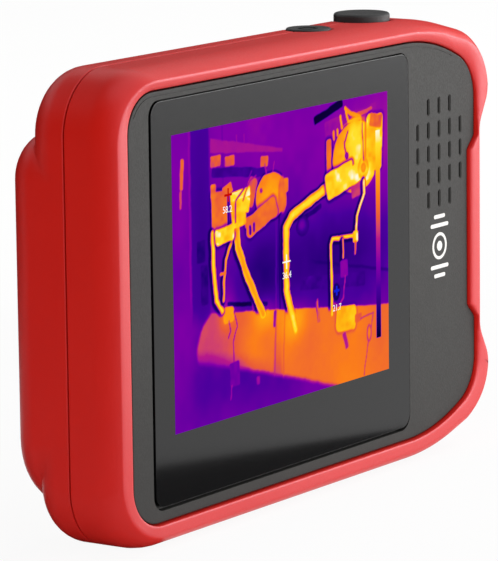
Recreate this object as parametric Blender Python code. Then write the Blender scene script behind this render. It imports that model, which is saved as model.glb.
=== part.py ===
"""Pocket thermal imaging camera, standing on its lower edge.

The frame has +X to the user's right, +Y from the screen towards the lens and +Z up. The origin is the
middle of the footprint. Sizes are in millimetres and become metres when a mesh is made.
"""

import math

import bmesh
import bpy
from mathutils import Vector

MILLIMETRE = 0.001

# Housing
BODY_WIDTH = 126.2
BODY_HEIGHT = 84.0
BODY_DEPTH = 20.2
POD_RISE = 4.3
WALL = 2.2
PARTING_DEPTH = 11.3
PARTING_GROOVE = 0.3
BACK_FILLET = 5.0
CLEARANCE = 0.3

# Outer outline, seen from the front
CORNER_RADIUS = 11.5
SHOULDER_RUN = 25.0
SHOULDER_DROP = 5.5
SHOULDER_RADIUS = 85.0
HORN_RADIUS = 10.0
HORN_LENGTH = 18.5
HORN_SLOPE = 3.5
WAIST_DEPTH = 2.7
WAIST_RADIUS = 5.0

# Rim of the front bezel
RIM_LEFT = 5.1
RIM_TOP = 4.3
RIM_RIGHT = 7.1
RIM_SIDE = 6.0
RIM_CREST_SHARE = 0.58
RIM_LIP_DROP = 0.8
LEDGE_WIDTH = 1.8
LEDGE_THICKNESS = 1.5

# Front panel
PANEL_STEP = 0.5
PANEL_THICKNESS = 2.2
PANEL_GAP = 0.3
PANEL_CORNER_RADIUS = 7.2
PANEL_SHOULDER_RUN = 16.3
PANEL_SHOULDER_DROP = 6.6
PANEL_SHOULDER_RADIUS = 56.0
PANEL_HORN_RADIUS = 9.0
PANEL_HORN_LENGTH = 19.8
PANEL_HORN_SLOPE = 2.4
PANEL_WAIST_DEPTH = 2.2
PANEL_WAIST_RADIUS = 1.2

# Display
GLASS_THICKNESS = 1.1
GLASS_RADIUS = 2.6
GLASS_GAP = 0.4
GLASS_LEFT_MARGIN = 6.2
GLASS_TOP_MARGIN = 1.2
GLASS_BOTTOM_MARGIN = 2.4
GRIP_WIDTH = 23.8
LCD_SIDE_MARGIN = 4.0
LCD_TOP_MARGIN = 3.6
LCD_BOTTOM_MARGIN = 9.2
LCD_THICKNESS = 1.4
TRAY_THICKNESS = 1.8
TRAY_MARGIN = 0.6

# Speaker grille and the parts behind it
SLOT_WIDTH = 0.9
SLOT_LENGTH = 3.3
SLOT_PITCH_X = 3.85
SLOT_PITCH_Z = 4.45
SLOT_ROWS = (3, 5, 5, 5, 3)
GRILLE_FROM_RIGHT = 12.8
GRILLE_FROM_TOP = 25.8
SPEAKER_DIAMETER = 16.4
SPEAKER_DOME = 9.0
ANTENNA_WIDTH = 16.0
ANTENNA_HEIGHT = 15.0
ANTENNA_TRACK = 2.6
ANTENNA_THICKNESS = 0.6
ANTENNA_GAP = 3.0

# Frame and electronics
FRAME_RIB = 1.6
FRAME_MARGIN = 2.4
BOARD_THICKNESS = 1.2
BOARD_MARGIN = 15.0
BOARD_TAB_MARGIN = 4.0
SHIELD_WIDTH = 16.0
SHIELD_HEIGHT = 22.0
SHIELD_THICKNESS = 2.2
BATTERY_GAP = 8.1
BATTERY_HEIGHT = 40.0
BATTERY_THICKNESS = 6.2
BATTERY_FROM_RIGHT = 13.0

# Buttons and their switches
POWER_FROM_RIGHT = 49.7
POWER_DIAMETER = 7.9
POWER_RISE = 0.3
POWER_TRAVEL = 0.5
SHUTTER_FROM_RIGHT = 31.3
SHUTTER_DIAMETER = 10.2
SHUTTER_RISE = 1.4
SHUTTER_TRAVEL = 0.8
BUTTON_EDGE = 0.35
FLANGE_OVERHANG = 1.4
FLANGE_SINK = 0.6
FLANGE_DEPTH = 6.4
FLANGE_THICKNESS = 0.8
STEM_DIAMETER = 2.6
STEM_LENGTH = 1.0
SWITCH_WIDTH = 6.0
SWITCH_DEPTH = 3.5
SWITCH_HEIGHT = 4.0
PLUNGER_DIAMETER = 1.8
PLUNGER_RISE = 1.1
PLUNGER_LENGTH = 1.8

# Charging port
PORT_WIDTH = 9.0
PORT_THICKNESS = 3.3
PORT_LENGTH = 7.4
PORT_WALL = 0.35
PORT_OPENING_MARGIN = 0.9
COVER_HEIGHT = 16.0
COVER_DEPTH = 8.0
COVER_THICKNESS = 1.2
COVER_RADIUS = 2.0
COVER_PLUG_LENGTH = 1.2
COVER_PLUG_SLACK = 0.9

# Optics pod on the back
POD_WIDTH = 55.0
POD_FROM_TOP = 11.8
POD_CHAMFER_X = 6.7
POD_CHAMFER_Z = 5.3
POD_RADIUS = 4.0
POD_FILLET = 4.0
POD_WALL = 3.0
LENS_PANEL_MARGIN = 6.0
LENS_PANEL_RADIUS = 5.0
LENS_PANEL_THICKNESS = 1.2
LENS_RISE = 9.0
LENS_BARREL_DIAMETER = 19.0
LENS_DIAMETER = 14.6
LENS_THICKNESS = 3.2
LENS_BULGE = 0.8
LENS_SHOULDER = 1.2
LENS_RECESS = 0.6
RETAINER_THICKNESS = 1.0
BARREL_FLANGE = 2.2
BARREL_FLANGE_THICKNESS = 1.2
SEAL_THICKNESS = 0.6
EYE_DROP = 15.0
EYE_SPREAD = 10.0
EYE_DIAMETER = 8.0
EYE_THICKNESS = 0.8
EYE_BORE = 5.4
CAMERA_SIZE = 8.5
CAMERA_BODY = 3.6
CAMERA_NOSE = 6.4
CAMERA_NOSE_LENGTH = 2.4
LAMP_DIAMETER = 9.0
LAMP_BASE = 1.0
LAMP_CHIP = 3.4
LAMP_CHIP_HEIGHT = 0.9

# Thermal sensor and its calibration flag
SENSOR_BOARD_SIZE = 26.0
SENSOR_BOARD_THICKNESS = 1.0
SENSOR_SIZE = 13.0
SENSOR_THICKNESS = 1.8
CONNECTOR_LENGTH = 14.0
CONNECTOR_WIDTH = 4.0
CONNECTOR_HEIGHT = 1.2
FLAG_THICKNESS = 0.3
FLAG_DIAMETER = 11.0
FLAG_ARM = 14.0
FLAG_ARM_WIDTH = 2.4
FLAG_PARK_DEGREES = 55.0
FLAG_HUB_DIAMETER = 4.0
FLAG_PIN_DIAMETER = 1.2
FLAG_MOTOR_DIAMETER = 6.0
PIVOT_BELOW_LENS = 9.0

# Case screws
SCREW_HEAD_DIAMETER = 4.4
SCREW_HEAD_HEIGHT = 1.6
SCREW_HEAD_RECESS = 0.4
SCREW_SHANK_DIAMETER = 2.0
SCREW_LENGTH = 10.0
SCREW_SOCKET = 2.0
SCREW_SOCKET_DEPTH = 0.9
SCREW_POST_DIAMETER = 7.0
SCREW_LEFT_INSET = 9.8
SCREW_RIGHT_INSET = 15.5
SCREW_LEFT_EDGE = 8.2
SCREW_RIGHT_EDGE = 11.0

# Facets
ARC_STEPS = 7
BEND_STEPS = 3
ROUND_STEPS = 28
SMALL_ROUND_STEPS = 16
OVERCUT = 1.0

# Levels that follow from the sizes above. Depths run from the crest of the front rim to the back.
TOTAL_DEPTH = BODY_DEPTH + POD_RISE
MID_HEIGHT = BODY_HEIGHT / 2
RIGHT = BODY_WIDTH / 2
LEFT = -RIGHT
BEZEL_END = PARTING_DEPTH - PARTING_GROOVE / 2
SHELL_START = PARTING_DEPTH + PARTING_GROOVE / 2
PANEL_FRONT = RIM_LIP_DROP + PANEL_STEP
PANEL_BACK = PANEL_FRONT + PANEL_THICKNESS
LEDGE_FRONT = PANEL_BACK + CLEARANCE
LEDGE_BACK = LEDGE_FRONT + LEDGE_THICKNESS
GLASS_BACK = PANEL_FRONT + GLASS_THICKNESS
LCD_FRONT = GLASS_BACK + CLEARANCE
LCD_BACK = LCD_FRONT + LCD_THICKNESS
TRAY_FRONT = max(LCD_BACK, PANEL_BACK) + CLEARANCE
TRAY_BACK = TRAY_FRONT + TRAY_THICKNESS
FRAME_FRONT = max(TRAY_BACK, LEDGE_BACK) + CLEARANCE
BOARD_BACK = PARTING_DEPTH - SWITCH_DEPTH / 2 - CLEARANCE
BOARD_FRONT = BOARD_BACK - BOARD_THICKNESS
FRAME_BACK = BOARD_FRONT - CLEARANCE
ON_BOARD = BOARD_BACK + CLEARANCE
SHELL_INSIDE = BODY_DEPTH - WALL
POD_INSIDE = TOTAL_DEPTH - POD_WALL
LENS_PANEL_FRONT = TOTAL_DEPTH - LENS_PANEL_THICKNESS
LENS_POCKET = LENS_PANEL_FRONT - CLEARANCE
WALL_TOP = BODY_HEIGHT - WALL
FLANGE_TOP = WALL_TOP - FLANGE_SINK - CLEARANCE
FLANGE_BOTTOM = FLANGE_TOP - FLANGE_THICKNESS
STEM_BOTTOM = FLANGE_BOTTOM - STEM_LENGTH
PLUNGER_TOP = STEM_BOTTOM - CLEARANCE
SWITCH_TOP = PLUNGER_TOP - PLUNGER_RISE
WAIST_FACE = RIGHT - WAIST_DEPTH
POWER_X = RIGHT - POWER_FROM_RIGHT
SHUTTER_X = RIGHT - SHUTTER_FROM_RIGHT
GLASS_WIDTH = BODY_WIDTH - RIM_LEFT - RIM_RIGHT - GLASS_LEFT_MARGIN - GRIP_WIDTH
GLASS_HEIGHT = BODY_HEIGHT - 2 * RIM_TOP - GLASS_TOP_MARGIN - GLASS_BOTTOM_MARGIN
GLASS_CENTRE_X = LEFT + RIM_LEFT + GLASS_LEFT_MARGIN + GLASS_WIDTH / 2
GLASS_CENTRE_Z = RIM_TOP + GLASS_BOTTOM_MARGIN + GLASS_HEIGHT / 2
LCD_WIDTH = GLASS_WIDTH - 2 * LCD_SIDE_MARGIN
LCD_HEIGHT = GLASS_HEIGHT - LCD_TOP_MARGIN - LCD_BOTTOM_MARGIN
LCD_CENTRE_Z = GLASS_CENTRE_Z + (LCD_BOTTOM_MARGIN - LCD_TOP_MARGIN) / 2
GRILLE_X = RIGHT - RIM_RIGHT - GRILLE_FROM_RIGHT
GRILLE_Z = BODY_HEIGHT - GRILLE_FROM_TOP
ANTENNA_Z = GRILLE_Z - SPEAKER_DIAMETER / 2 - ANTENNA_GAP - ANTENNA_HEIGHT / 2
POD_HALF_HEIGHT = MID_HEIGHT - POD_FROM_TOP
POD_CENTRE_X = LEFT + POD_WIDTH / 2
SHIELD_RIGHT = POD_CENTRE_X + SENSOR_BOARD_SIZE / 2 + SHIELD_WIDTH + 2 * CLEARANCE
LENS_X = POD_CENTRE_X
LENS_Z = MID_HEIGHT + LENS_RISE
EYE_Z = MID_HEIGHT - EYE_DROP
SENSOR_BOARD_FRONT = ON_BOARD + CONNECTOR_HEIGHT + CLEARANCE
SENSOR_FRONT = SENSOR_BOARD_FRONT + SENSOR_BOARD_THICKNESS + CLEARANCE
SENSOR_BACK = SENSOR_FRONT + SENSOR_THICKNESS
FLAG_FRONT = SENSOR_BACK + CLEARANCE
FLAG_BACK = FLAG_FRONT + FLAG_THICKNESS
BARREL_START = FLAG_BACK + 2 * CLEARANCE
BARREL_END = TOTAL_DEPTH - CLEARANCE

COLOURS = {
    "red_rubber": ((0.62, 0.035, 0.025), 0.45, 0.0),
    "fascia_plastic": ((0.085, 0.083, 0.08), 0.5, 0.0),
    "cover_glass": ((0.05, 0.05, 0.052), 0.08, 0.0),
    "display": ((0.18, 0.01, 0.35), 0.2, 0.0),
    "button_plastic": ((0.02, 0.02, 0.02), 0.45, 0.0),
    "black_plastic": ((0.025, 0.025, 0.025), 0.55, 0.0),
    "steel": ((0.55, 0.55, 0.56), 0.35, 1.0),
    "aluminium": ((0.12, 0.12, 0.13), 0.4, 1.0),
    "germanium": ((0.20, 0.16, 0.15), 0.12, 1.0),
    "circuit_board": ((0.02, 0.16, 0.06), 0.5, 0.0),
    "cell_wrap": ((0.05, 0.12, 0.32), 0.5, 0.0),
    "white_plastic": ((0.75, 0.74, 0.70), 0.4, 0.0),
    "copper": ((0.72, 0.36, 0.18), 0.3, 1.0),
    "foam": ((0.05, 0.05, 0.05), 0.9, 0.0),
    "clear_lens": ((0.55, 0.58, 0.60), 0.05, 0.0),
}


def clear_scene():
    """Remove every object that the file starts with."""
    for found in list(bpy.data.objects):
        bpy.data.objects.remove(found, do_unlink=True)


def make_materials():
    """One Principled material for each finish."""
    made = {}
    for name, (colour, roughness, metallic) in COLOURS.items():
        material = bpy.data.materials.new(name)
        material.use_nodes = True
        shader = material.node_tree.nodes["Principled BSDF"]
        shader.inputs["Base Color"].default_value = (*colour, 1.0)
        shader.inputs["Roughness"].default_value = roughness
        shader.inputs["Metallic"].default_value = metallic
        made[name] = material
    return made


def make_root():
    """The empty that carries every piece."""
    empty = bpy.data.objects.new("thermal_camera", None)
    bpy.context.scene.collection.objects.link(empty)
    return empty


clear_scene()
MATERIALS = make_materials()
ROOT = make_root()


def joint_empty(name, place):
    """An empty on a joint's axis, which carries the pieces that move there."""
    empty = bpy.data.objects.new(name, None)
    empty.location = place * MILLIMETRE
    empty.parent = ROOT
    bpy.context.scene.collection.objects.link(empty)
    return empty


def at(x, depth, z):
    """A point in the part's frame from a depth measured from the front rim."""
    return Vector((x, depth - TOTAL_DEPTH / 2, z))


def finish(name, shape, origin, material, parent=None, parent_place=None):
    """Turn a bmesh in millimetres into a smooth-shaded object whose own origin is the given point."""
    bmesh.ops.translate(shape, verts=shape.verts, vec=-origin)
    bmesh.ops.scale(shape, verts=shape.verts, vec=Vector((MILLIMETRE,) * 3))
    mesh = bpy.data.meshes.new(name)
    shape.to_mesh(mesh)
    shape.free()
    mesh.shade_smooth()
    mesh.set_sharp_from_angle(angle=math.radians(35))
    made = bpy.data.objects.new(name, mesh)
    made.location = (origin - (parent_place or Vector())) * MILLIMETRE
    made.parent = parent or ROOT
    if material:
        mesh.materials.append(MATERIALS[material])
    bpy.context.scene.collection.objects.link(made)
    return made


def skin(rings, looped=False):
    """A bmesh skinned over rings of equal length. Looped rings close on the first one, others get caps."""
    shape = bmesh.new()
    rows = [[shape.verts.new(point) for point in ring] for ring in rings]
    pairs = list(zip(rows, rows[1:]))
    if looped:
        pairs.append((rows[-1], rows[0]))
    else:
        shape.faces.new(rows[0][::-1])
        shape.faces.new(rows[-1])
    for near, far in pairs:
        for i in range(len(near)):
            j = (i + 1) % len(near)
            shape.faces.new((near[i], near[j], far[j], far[i]))
    if shape.calc_volume(signed=True) < 0:
        bmesh.ops.reverse_faces(shape, faces=shape.faces)
    return shape


def middle(rings):
    """The middle of the box round some rings."""
    points = [point for ring in rings for point in ring]
    low = Vector([min(p[i] for p in points) for i in range(3)])
    high = Vector([max(p[i] for p in points) for i in range(3)])
    return (low + high) / 2


def solid(name, rings, material, looped=False, parent=None, parent_place=None):
    """An object skinned over rings, with its origin at its middle or at the given joint."""
    origin = parent_place or middle(rings)
    return finish(name, skin(rings, looped), origin, material, parent, parent_place)


def as_tool(cutter):
    """Mark an object as a guide that shapes another one."""
    cutter.hide_render = True
    cutter.display_type = "WIRE"
    return cutter


def boolean(target, tool, operation):
    """Shape a piece with a tool object."""
    modifier = target.modifiers.new(f"{operation.lower()}_{tool.name}", "BOOLEAN")
    modifier.operation = operation
    modifier.object = as_tool(tool)


def offset_corners(corners, inset):
    """Move each edge of a clockwise outline inwards. Corners are (x, z, radius, steps)."""
    lines = []
    for (x0, z0, _, _), (x1, z1, _, _) in zip(corners, corners[1:] + corners[:1]):
        along = Vector((x1 - x0, z1 - z0)).normalized()
        lines.append((Vector((x0, z0)) + inset * Vector((along.y, -along.x)), along))
    moved = []
    for i, (_, _, radius, steps) in enumerate(corners):
        (start, before), (point, after) = lines[i - 1], lines[i]
        turn = before.x * after.y - before.y * after.x
        run = ((point.x - start.x) * after.y - (point.y - start.y) * after.x) / turn
        corner = start + before * run
        kept = radius - inset if turn < 0 else radius + inset
        moved.append((corner.x, corner.y, max(kept, CLEARANCE), steps))
    return moved


def outline(corners, inset=0.0):
    """The points of a clockwise outline whose corners are rounded by arcs."""
    points = []
    moved = offset_corners(corners, inset)
    for i, (x, z, radius, steps) in enumerate(moved):
        corner = Vector((x, z))
        before = (Vector(moved[i - 1][:2]) - corner).normalized()
        after = (Vector(moved[(i + 1) % len(moved)][:2]) - corner).normalized()
        half = before.angle(after) / 2
        centre = corner + (before + after).normalized() * (radius / math.sin(half))
        start = corner + before * (radius / math.tan(half)) - centre
        sweep = math.copysign(math.pi - 2 * half, before.y * after.x - before.x * after.y)
        for k in range(steps + 1):
            angle = sweep * k / steps
            c, s = math.cos(angle), math.sin(angle)
            points.append(centre + Vector((start.x * c - start.y * s, start.x * s + start.y * c)))
    return points


def mirrored(upper):
    """Complete an outline whose lower half mirrors its upper half about the housing's mid height."""
    top = [(x, MID_HEIGHT + z, radius, steps) for x, z, radius, steps in upper]
    bottom = [(x, MID_HEIGHT - z, radius, steps) for x, z, radius, steps in reversed(upper)]
    return top + bottom


def body_corners():
    """The housing's outline: square on the left, with shoulders, horns and a waist on the right."""
    horn_end = MID_HEIGHT - HORN_LENGTH
    return mirrored([
        (LEFT, MID_HEIGHT, CORNER_RADIUS, ARC_STEPS),
        (RIGHT - SHOULDER_RUN, MID_HEIGHT, SHOULDER_RADIUS, BEND_STEPS),
        (RIGHT, MID_HEIGHT - SHOULDER_DROP, HORN_RADIUS, ARC_STEPS),
        (RIGHT, horn_end, WAIST_RADIUS, BEND_STEPS),
        (WAIST_FACE, horn_end - HORN_SLOPE, WAIST_RADIUS, BEND_STEPS),
    ])


def panel_corners():
    """The front panel's outline, which follows the housing with a rim round it."""
    left, right = LEFT + RIM_LEFT, RIGHT - RIM_RIGHT
    top = MID_HEIGHT - RIM_TOP
    horn_end = top - PANEL_HORN_LENGTH
    return mirrored([
        (left, top, PANEL_CORNER_RADIUS, ARC_STEPS),
        (right - PANEL_SHOULDER_RUN, top, PANEL_SHOULDER_RADIUS, BEND_STEPS),
        (right, top - PANEL_SHOULDER_DROP, PANEL_HORN_RADIUS, ARC_STEPS),
        (right, horn_end, PANEL_WAIST_RADIUS, BEND_STEPS),
        (right - PANEL_WAIST_DEPTH, horn_end - PANEL_HORN_SLOPE, PANEL_WAIST_RADIUS, BEND_STEPS),
    ])


def pod_corners():
    """The optics pod's outline: flush with the housing's left side, with cut corners."""
    left, right = LEFT, LEFT + POD_WIDTH
    return mirrored([
        (left, POD_HALF_HEIGHT - POD_CHAMFER_Z, POD_RADIUS, BEND_STEPS),
        (left + POD_CHAMFER_X, POD_HALF_HEIGHT, POD_RADIUS, BEND_STEPS),
        (right - POD_CHAMFER_X, POD_HALF_HEIGHT, POD_RADIUS, BEND_STEPS),
        (right, POD_HALF_HEIGHT - POD_CHAMFER_Z, POD_RADIUS, BEND_STEPS),
    ])


def rectangle(x, z, width, height, radius, steps=BEND_STEPS):
    """The corners of a rounded rectangle about a centre."""
    x0, x1, z0, z1 = x - width / 2, x + width / 2, z - height / 2, z + height / 2
    return [(x0, z1, radius, steps), (x1, z1, radius, steps), (x1, z0, radius, steps), (x0, z0, radius, steps)]


def ring(corners, depth, inset=0.0):
    """An outline at one depth."""
    return [at(p.x, depth, p.y) for p in outline(corners, inset)]


def plate(name, corners, near, far, material, inset=0.0, edge=0.0):
    """A flat piece between two depths, with its edges broken where asked."""
    if not edge:
        return solid(name, [ring(corners, near, inset), ring(corners, far, inset)], material)
    rings = [ring(corners, near, inset + edge), ring(corners, near + edge, inset),
             ring(corners, far - edge, inset), ring(corners, far, inset + edge)]
    return solid(name, rings, material)


def circle(x, z, diameter, depth, steps=ROUND_STEPS):
    """A circle facing front and back."""
    turns = [2 * math.pi * k / steps for k in range(steps)]
    return [at(x + diameter / 2 * math.cos(t), depth, z + diameter / 2 * math.sin(t)) for t in turns]


def turned(name, x, z, profile, material, bored=False, steps=ROUND_STEPS, **joint):
    """A round piece on a front-to-back axis. The profile is (diameter, depth) pairs."""
    rings = [circle(x, z, diameter, depth, steps) for diameter, depth in profile]
    return solid(name, rings, material, bored, **joint)


def upright(name, x, depth, profile, material, bored=False, steps=ROUND_STEPS, **joint):
    """A round piece on a vertical axis. The profile is (diameter, z) pairs."""
    turns = [2 * math.pi * k / steps for k in range(steps)]
    rings = [
        [at(x + d / 2 * math.cos(t), depth + d / 2 * math.sin(t), z) for t in turns]
        for d, z in profile
    ]
    return solid(name, rings, material, bored, **joint)


def block(name, x, z, width, height, near, far, material, **joint):
    """A square-edged block between two depths."""
    x0, x1, z0, z1 = x - width / 2, x + width / 2, z - height / 2, z + height / 2
    rings = [[at(x0, d, z0), at(x1, d, z0), at(x1, d, z1), at(x0, d, z1)] for d in (near, far)]
    return solid(name, rings, material, **joint)


def rim_profile(steps):
    """(share of the rim's width, depth) from the side wall over the crest to the inner lip."""
    climb = [
        (RIM_CREST_SHARE * (1 - math.cos(a)), RIM_SIDE * (1 - math.sin(a)))
        for a in (math.pi / 2 * k / steps for k in range(steps + 1))
    ]
    fall = [(0.5, 0.25), (1.0, 1.0)]
    return climb + [
        (RIM_CREST_SHARE + (1 - RIM_CREST_SHARE) * share, RIM_LIP_DROP * drop) for share, drop in fall
    ]


def screw_places():
    """Where the case screws stand, as (x, z)."""
    left, right = LEFT + SCREW_LEFT_INSET, RIGHT - SCREW_RIGHT_INSET
    return [
        (left, BODY_HEIGHT - SCREW_LEFT_EDGE),
        (left, SCREW_LEFT_EDGE),
        (right, BODY_HEIGHT - SCREW_RIGHT_EDGE),
        (right, SCREW_RIGHT_EDGE),
    ]


def button_specs():
    """(name, x, diameter, rise, travel) of each push button on the top edge."""
    return [
        ("power", POWER_X, POWER_DIAMETER, POWER_RISE, POWER_TRAVEL),
        ("shutter", SHUTTER_X, SHUTTER_DIAMETER, SHUTTER_RISE, SHUTTER_TRAVEL),
    ]


def cut_side_openings(shell):
    """Cut the button holes and the charging port, which both shells share along the parting line."""
    for name, x, diameter, _, _ in button_specs():
        hole = diameter + 2 * CLEARANCE
        profile = [(hole, WALL_TOP - OVERCUT), (hole, BODY_HEIGHT + OVERCUT)]
        tool = upright(f"{name}_hole_{shell.name}", x, PARTING_DEPTH, profile, None)
        boolean(shell, tool, "DIFFERENCE")
    recess = side_block(f"cover_recess_{shell.name}", COVER_HEIGHT + 2 * CLEARANCE, COVER_DEPTH + 2 * CLEARANCE,
                        COVER_RADIUS + CLEARANCE, WAIST_FACE - COVER_THICKNESS - CLEARANCE, RIGHT + OVERCUT, None)
    boolean(shell, recess, "DIFFERENCE")
    mouth = side_block(f"port_opening_{shell.name}", PORT_WIDTH + PORT_OPENING_MARGIN,
                       PORT_THICKNESS + PORT_OPENING_MARGIN, PORT_THICKNESS / 2,
                       WAIST_FACE - WALL - OVERCUT, RIGHT + OVERCUT, None)
    boolean(shell, mouth, "DIFFERENCE")


def side_block(name, height, depth, radius, near, far, material, **joint):
    """A rounded block that lies along X, centred on the charging port."""
    centre = port_depth()
    corners = rectangle(MID_HEIGHT, centre, height, depth, radius)
    rings = [[at(x, p.y, p.x) for p in outline(corners)] for x in (near, far)]
    return solid(name, rings, material, **joint)


def port_depth():
    """The depth of the charging port's middle."""
    return ON_BOARD + PORT_THICKNESS / 2


def make_front_bezel():
    """The red front frame: side wall, rolled rim, ledge for the panel and four screw bosses."""
    body, panel = body_corners(), panel_corners()
    outer, inner = outline(body), outline(panel, -PANEL_GAP)
    rings = [ring(body, BEZEL_END)]
    for share, depth in rim_profile(ARC_STEPS):
        rings.append([at(*(o.lerp(i, share).x, depth, o.lerp(i, share).y)) for o, i in zip(outer, inner)])
    rings += [
        ring(panel, LEDGE_FRONT, -PANEL_GAP),
        ring(panel, LEDGE_FRONT, LEDGE_WIDTH),
        ring(panel, LEDGE_BACK, LEDGE_WIDTH),
        ring(body, LEDGE_BACK, WALL),
        ring(body, BEZEL_END, WALL),
    ]
    bezel = solid("front_bezel", rings, "red_rubber", looped=True)
    pilot = SCREW_SHANK_DIAMETER + 2 * CLEARANCE
    for number, (x, z) in enumerate(screw_places(), 1):
        boss_front = LEDGE_FRONT + LEDGE_THICKNESS / 2
        profile = [(SCREW_POST_DIAMETER, boss_front), (SCREW_POST_DIAMETER, BEZEL_END)]
        boss = turned(f"bezel_boss_{number}", x, z, profile, None, steps=SMALL_ROUND_STEPS)
        boolean(bezel, boss, "UNION")
        profile = [(pilot, LEDGE_BACK + CLEARANCE), (pilot, BEZEL_END + OVERCUT)]
        boolean(bezel, turned(f"bezel_pilot_{number}", x, z, profile, None, steps=SMALL_ROUND_STEPS), "DIFFERENCE")
    cut_side_openings(bezel)


def dished_rings(corners, start, end, fillet, inset=0.0):
    """Rings of a tray wall that runs to a rounded edge at its far face."""
    rings = [ring(corners, start, inset)]
    for k in range(ARC_STEPS - 1):
        angle = math.pi / 2 * k / (ARC_STEPS - 2)
        rings.append(ring(corners, end - fillet * (1 - math.sin(angle)), inset + fillet * (1 - math.cos(angle))))
    return rings


def make_rear_shell():
    """The red back shell: a tray with a raised optics pod, screw posts and the pod's lens pocket."""
    body, pod = body_corners(), pod_corners()
    shell = solid("rear_shell", dished_rings(body, SHELL_START, BODY_DEPTH, BACK_FILLET), "red_rubber")
    pod_start = BODY_DEPTH - BACK_FILLET - WALL
    raised = solid("pod_outside", dished_rings(pod, pod_start, TOTAL_DEPTH, POD_FILLET), None)
    boolean(shell, raised, "UNION")
    inner_fillet = max(BACK_FILLET - WALL, CLEARANCE)
    hollow = dished_rings(body, SHELL_START - OVERCUT, SHELL_INSIDE, inner_fillet, WALL)
    boolean(shell, solid("shell_inside", hollow, None), "DIFFERENCE")
    pod_hollow = [ring(pod, pod_start, WALL + CLEARANCE), ring(pod, POD_INSIDE, WALL + CLEARANCE)]
    boolean(shell, solid("pod_inside", pod_hollow, None), "DIFFERENCE")
    pocket = plate("lens_panel_pocket", lens_panel_corners(), LENS_POCKET, TOTAL_DEPTH + OVERCUT, None, -CLEARANCE)
    boolean(shell, pocket, "DIFFERENCE")
    barrel_hole = LENS_BARREL_DIAMETER + 2 * CLEARANCE
    for name, x, z, diameter in [("barrel_hole", LENS_X, LENS_Z, barrel_hole), *eye_bores()]:
        profile = [(diameter, POD_INSIDE - OVERCUT), (diameter, TOTAL_DEPTH + OVERCUT)]
        boolean(shell, turned(name, x, z, profile, None), "DIFFERENCE")
    add_screw_posts(shell)
    cut_side_openings(shell)


def add_screw_posts(shell):
    """Posts for the case screws, counterbored from the back."""
    seat = screw_seat()
    for number, (x, z) in enumerate(screw_places(), 1):
        profile = [(SCREW_POST_DIAMETER, SHELL_START), (SCREW_POST_DIAMETER, SHELL_INSIDE + WALL / 2)]
        boolean(shell, turned(f"post_{number}", x, z, profile, None, steps=SMALL_ROUND_STEPS), "UNION")
        head, shank = SCREW_HEAD_DIAMETER + 2 * CLEARANCE, SCREW_SHANK_DIAMETER + 2 * CLEARANCE
        profile = [(shank, SHELL_START - OVERCUT), (shank, seat), (head, seat), (head, BODY_DEPTH + OVERCUT)]
        boolean(shell, turned(f"bore_{number}", x, z, profile, None, steps=SMALL_ROUND_STEPS), "DIFFERENCE")


def screw_seat():
    """The depth of the face that a screw head bears on."""
    return BODY_DEPTH - SCREW_HEAD_RECESS - SCREW_HEAD_HEIGHT - CLEARANCE


def make_case_screws():
    """Socket-head case screws, driven from the back."""
    head = screw_seat() + CLEARANCE
    top = head + SCREW_HEAD_HEIGHT
    for number, (x, z) in enumerate(screw_places(), 1):
        profile = [
            (SCREW_SHANK_DIAMETER, head - SCREW_LENGTH),
            (SCREW_SHANK_DIAMETER, head),
            (SCREW_HEAD_DIAMETER, head),
            (SCREW_HEAD_DIAMETER, top - SCREW_SOCKET_DEPTH / 2),
            (SCREW_HEAD_DIAMETER - SCREW_SOCKET_DEPTH, top),
            (SCREW_SOCKET, top),
            (SCREW_SOCKET, top - SCREW_SOCKET_DEPTH),
        ]
        turned(f"case_screw_{number}", x, z, profile, "steel", steps=SMALL_ROUND_STEPS)


def glass_corners():
    """The cover glass's outline."""
    return rectangle(GLASS_CENTRE_X, GLASS_CENTRE_Z, GLASS_WIDTH, GLASS_HEIGHT, GLASS_RADIUS)


def display_corners():
    """The liquid crystal cell's outline, which the window in the panel follows."""
    return rectangle(GLASS_CENTRE_X, LCD_CENTRE_Z, LCD_WIDTH, LCD_HEIGHT, GLASS_RADIUS / 2)


def slot_cutter():
    """All the speaker slots as one tool: upright slots in centred rows."""
    shape = bmesh.new()
    for row, count in enumerate(SLOT_ROWS):
        z = GRILLE_Z + SLOT_PITCH_Z * ((len(SLOT_ROWS) - 1) / 2 - row)
        for column in range(count):
            x = GRILLE_X + SLOT_PITCH_X * (column - (count - 1) / 2)
            corners = rectangle(x, z, SLOT_WIDTH, SLOT_LENGTH, SLOT_WIDTH / 2 - 0.01, 2)
            piece = skin([ring(corners, PANEL_FRONT - OVERCUT), ring(corners, PANEL_BACK + OVERCUT)])
            scratch = bpy.data.meshes.new("slot")
            piece.to_mesh(scratch)
            piece.free()
            shape.from_mesh(scratch)
            bpy.data.meshes.remove(scratch)
    return finish("speaker_slots", shape, Vector(), None)


def make_front_panel():
    """The dark fascia with the glass pocket, the display window and the speaker slots."""
    panel = plate("front_panel", panel_corners(), PANEL_FRONT, PANEL_BACK, "fascia_plastic")
    pocket_floor = GLASS_BACK + CLEARANCE
    pocket = plate("glass_pocket", glass_corners(), PANEL_FRONT - OVERCUT, pocket_floor, None, -GLASS_GAP)
    boolean(panel, pocket, "DIFFERENCE")
    opening = plate("display_window", display_corners(), PANEL_FRONT - OVERCUT, PANEL_BACK + OVERCUT, None, -CLEARANCE)
    boolean(panel, opening, "DIFFERENCE")
    boolean(panel, slot_cutter(), "DIFFERENCE")


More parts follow.
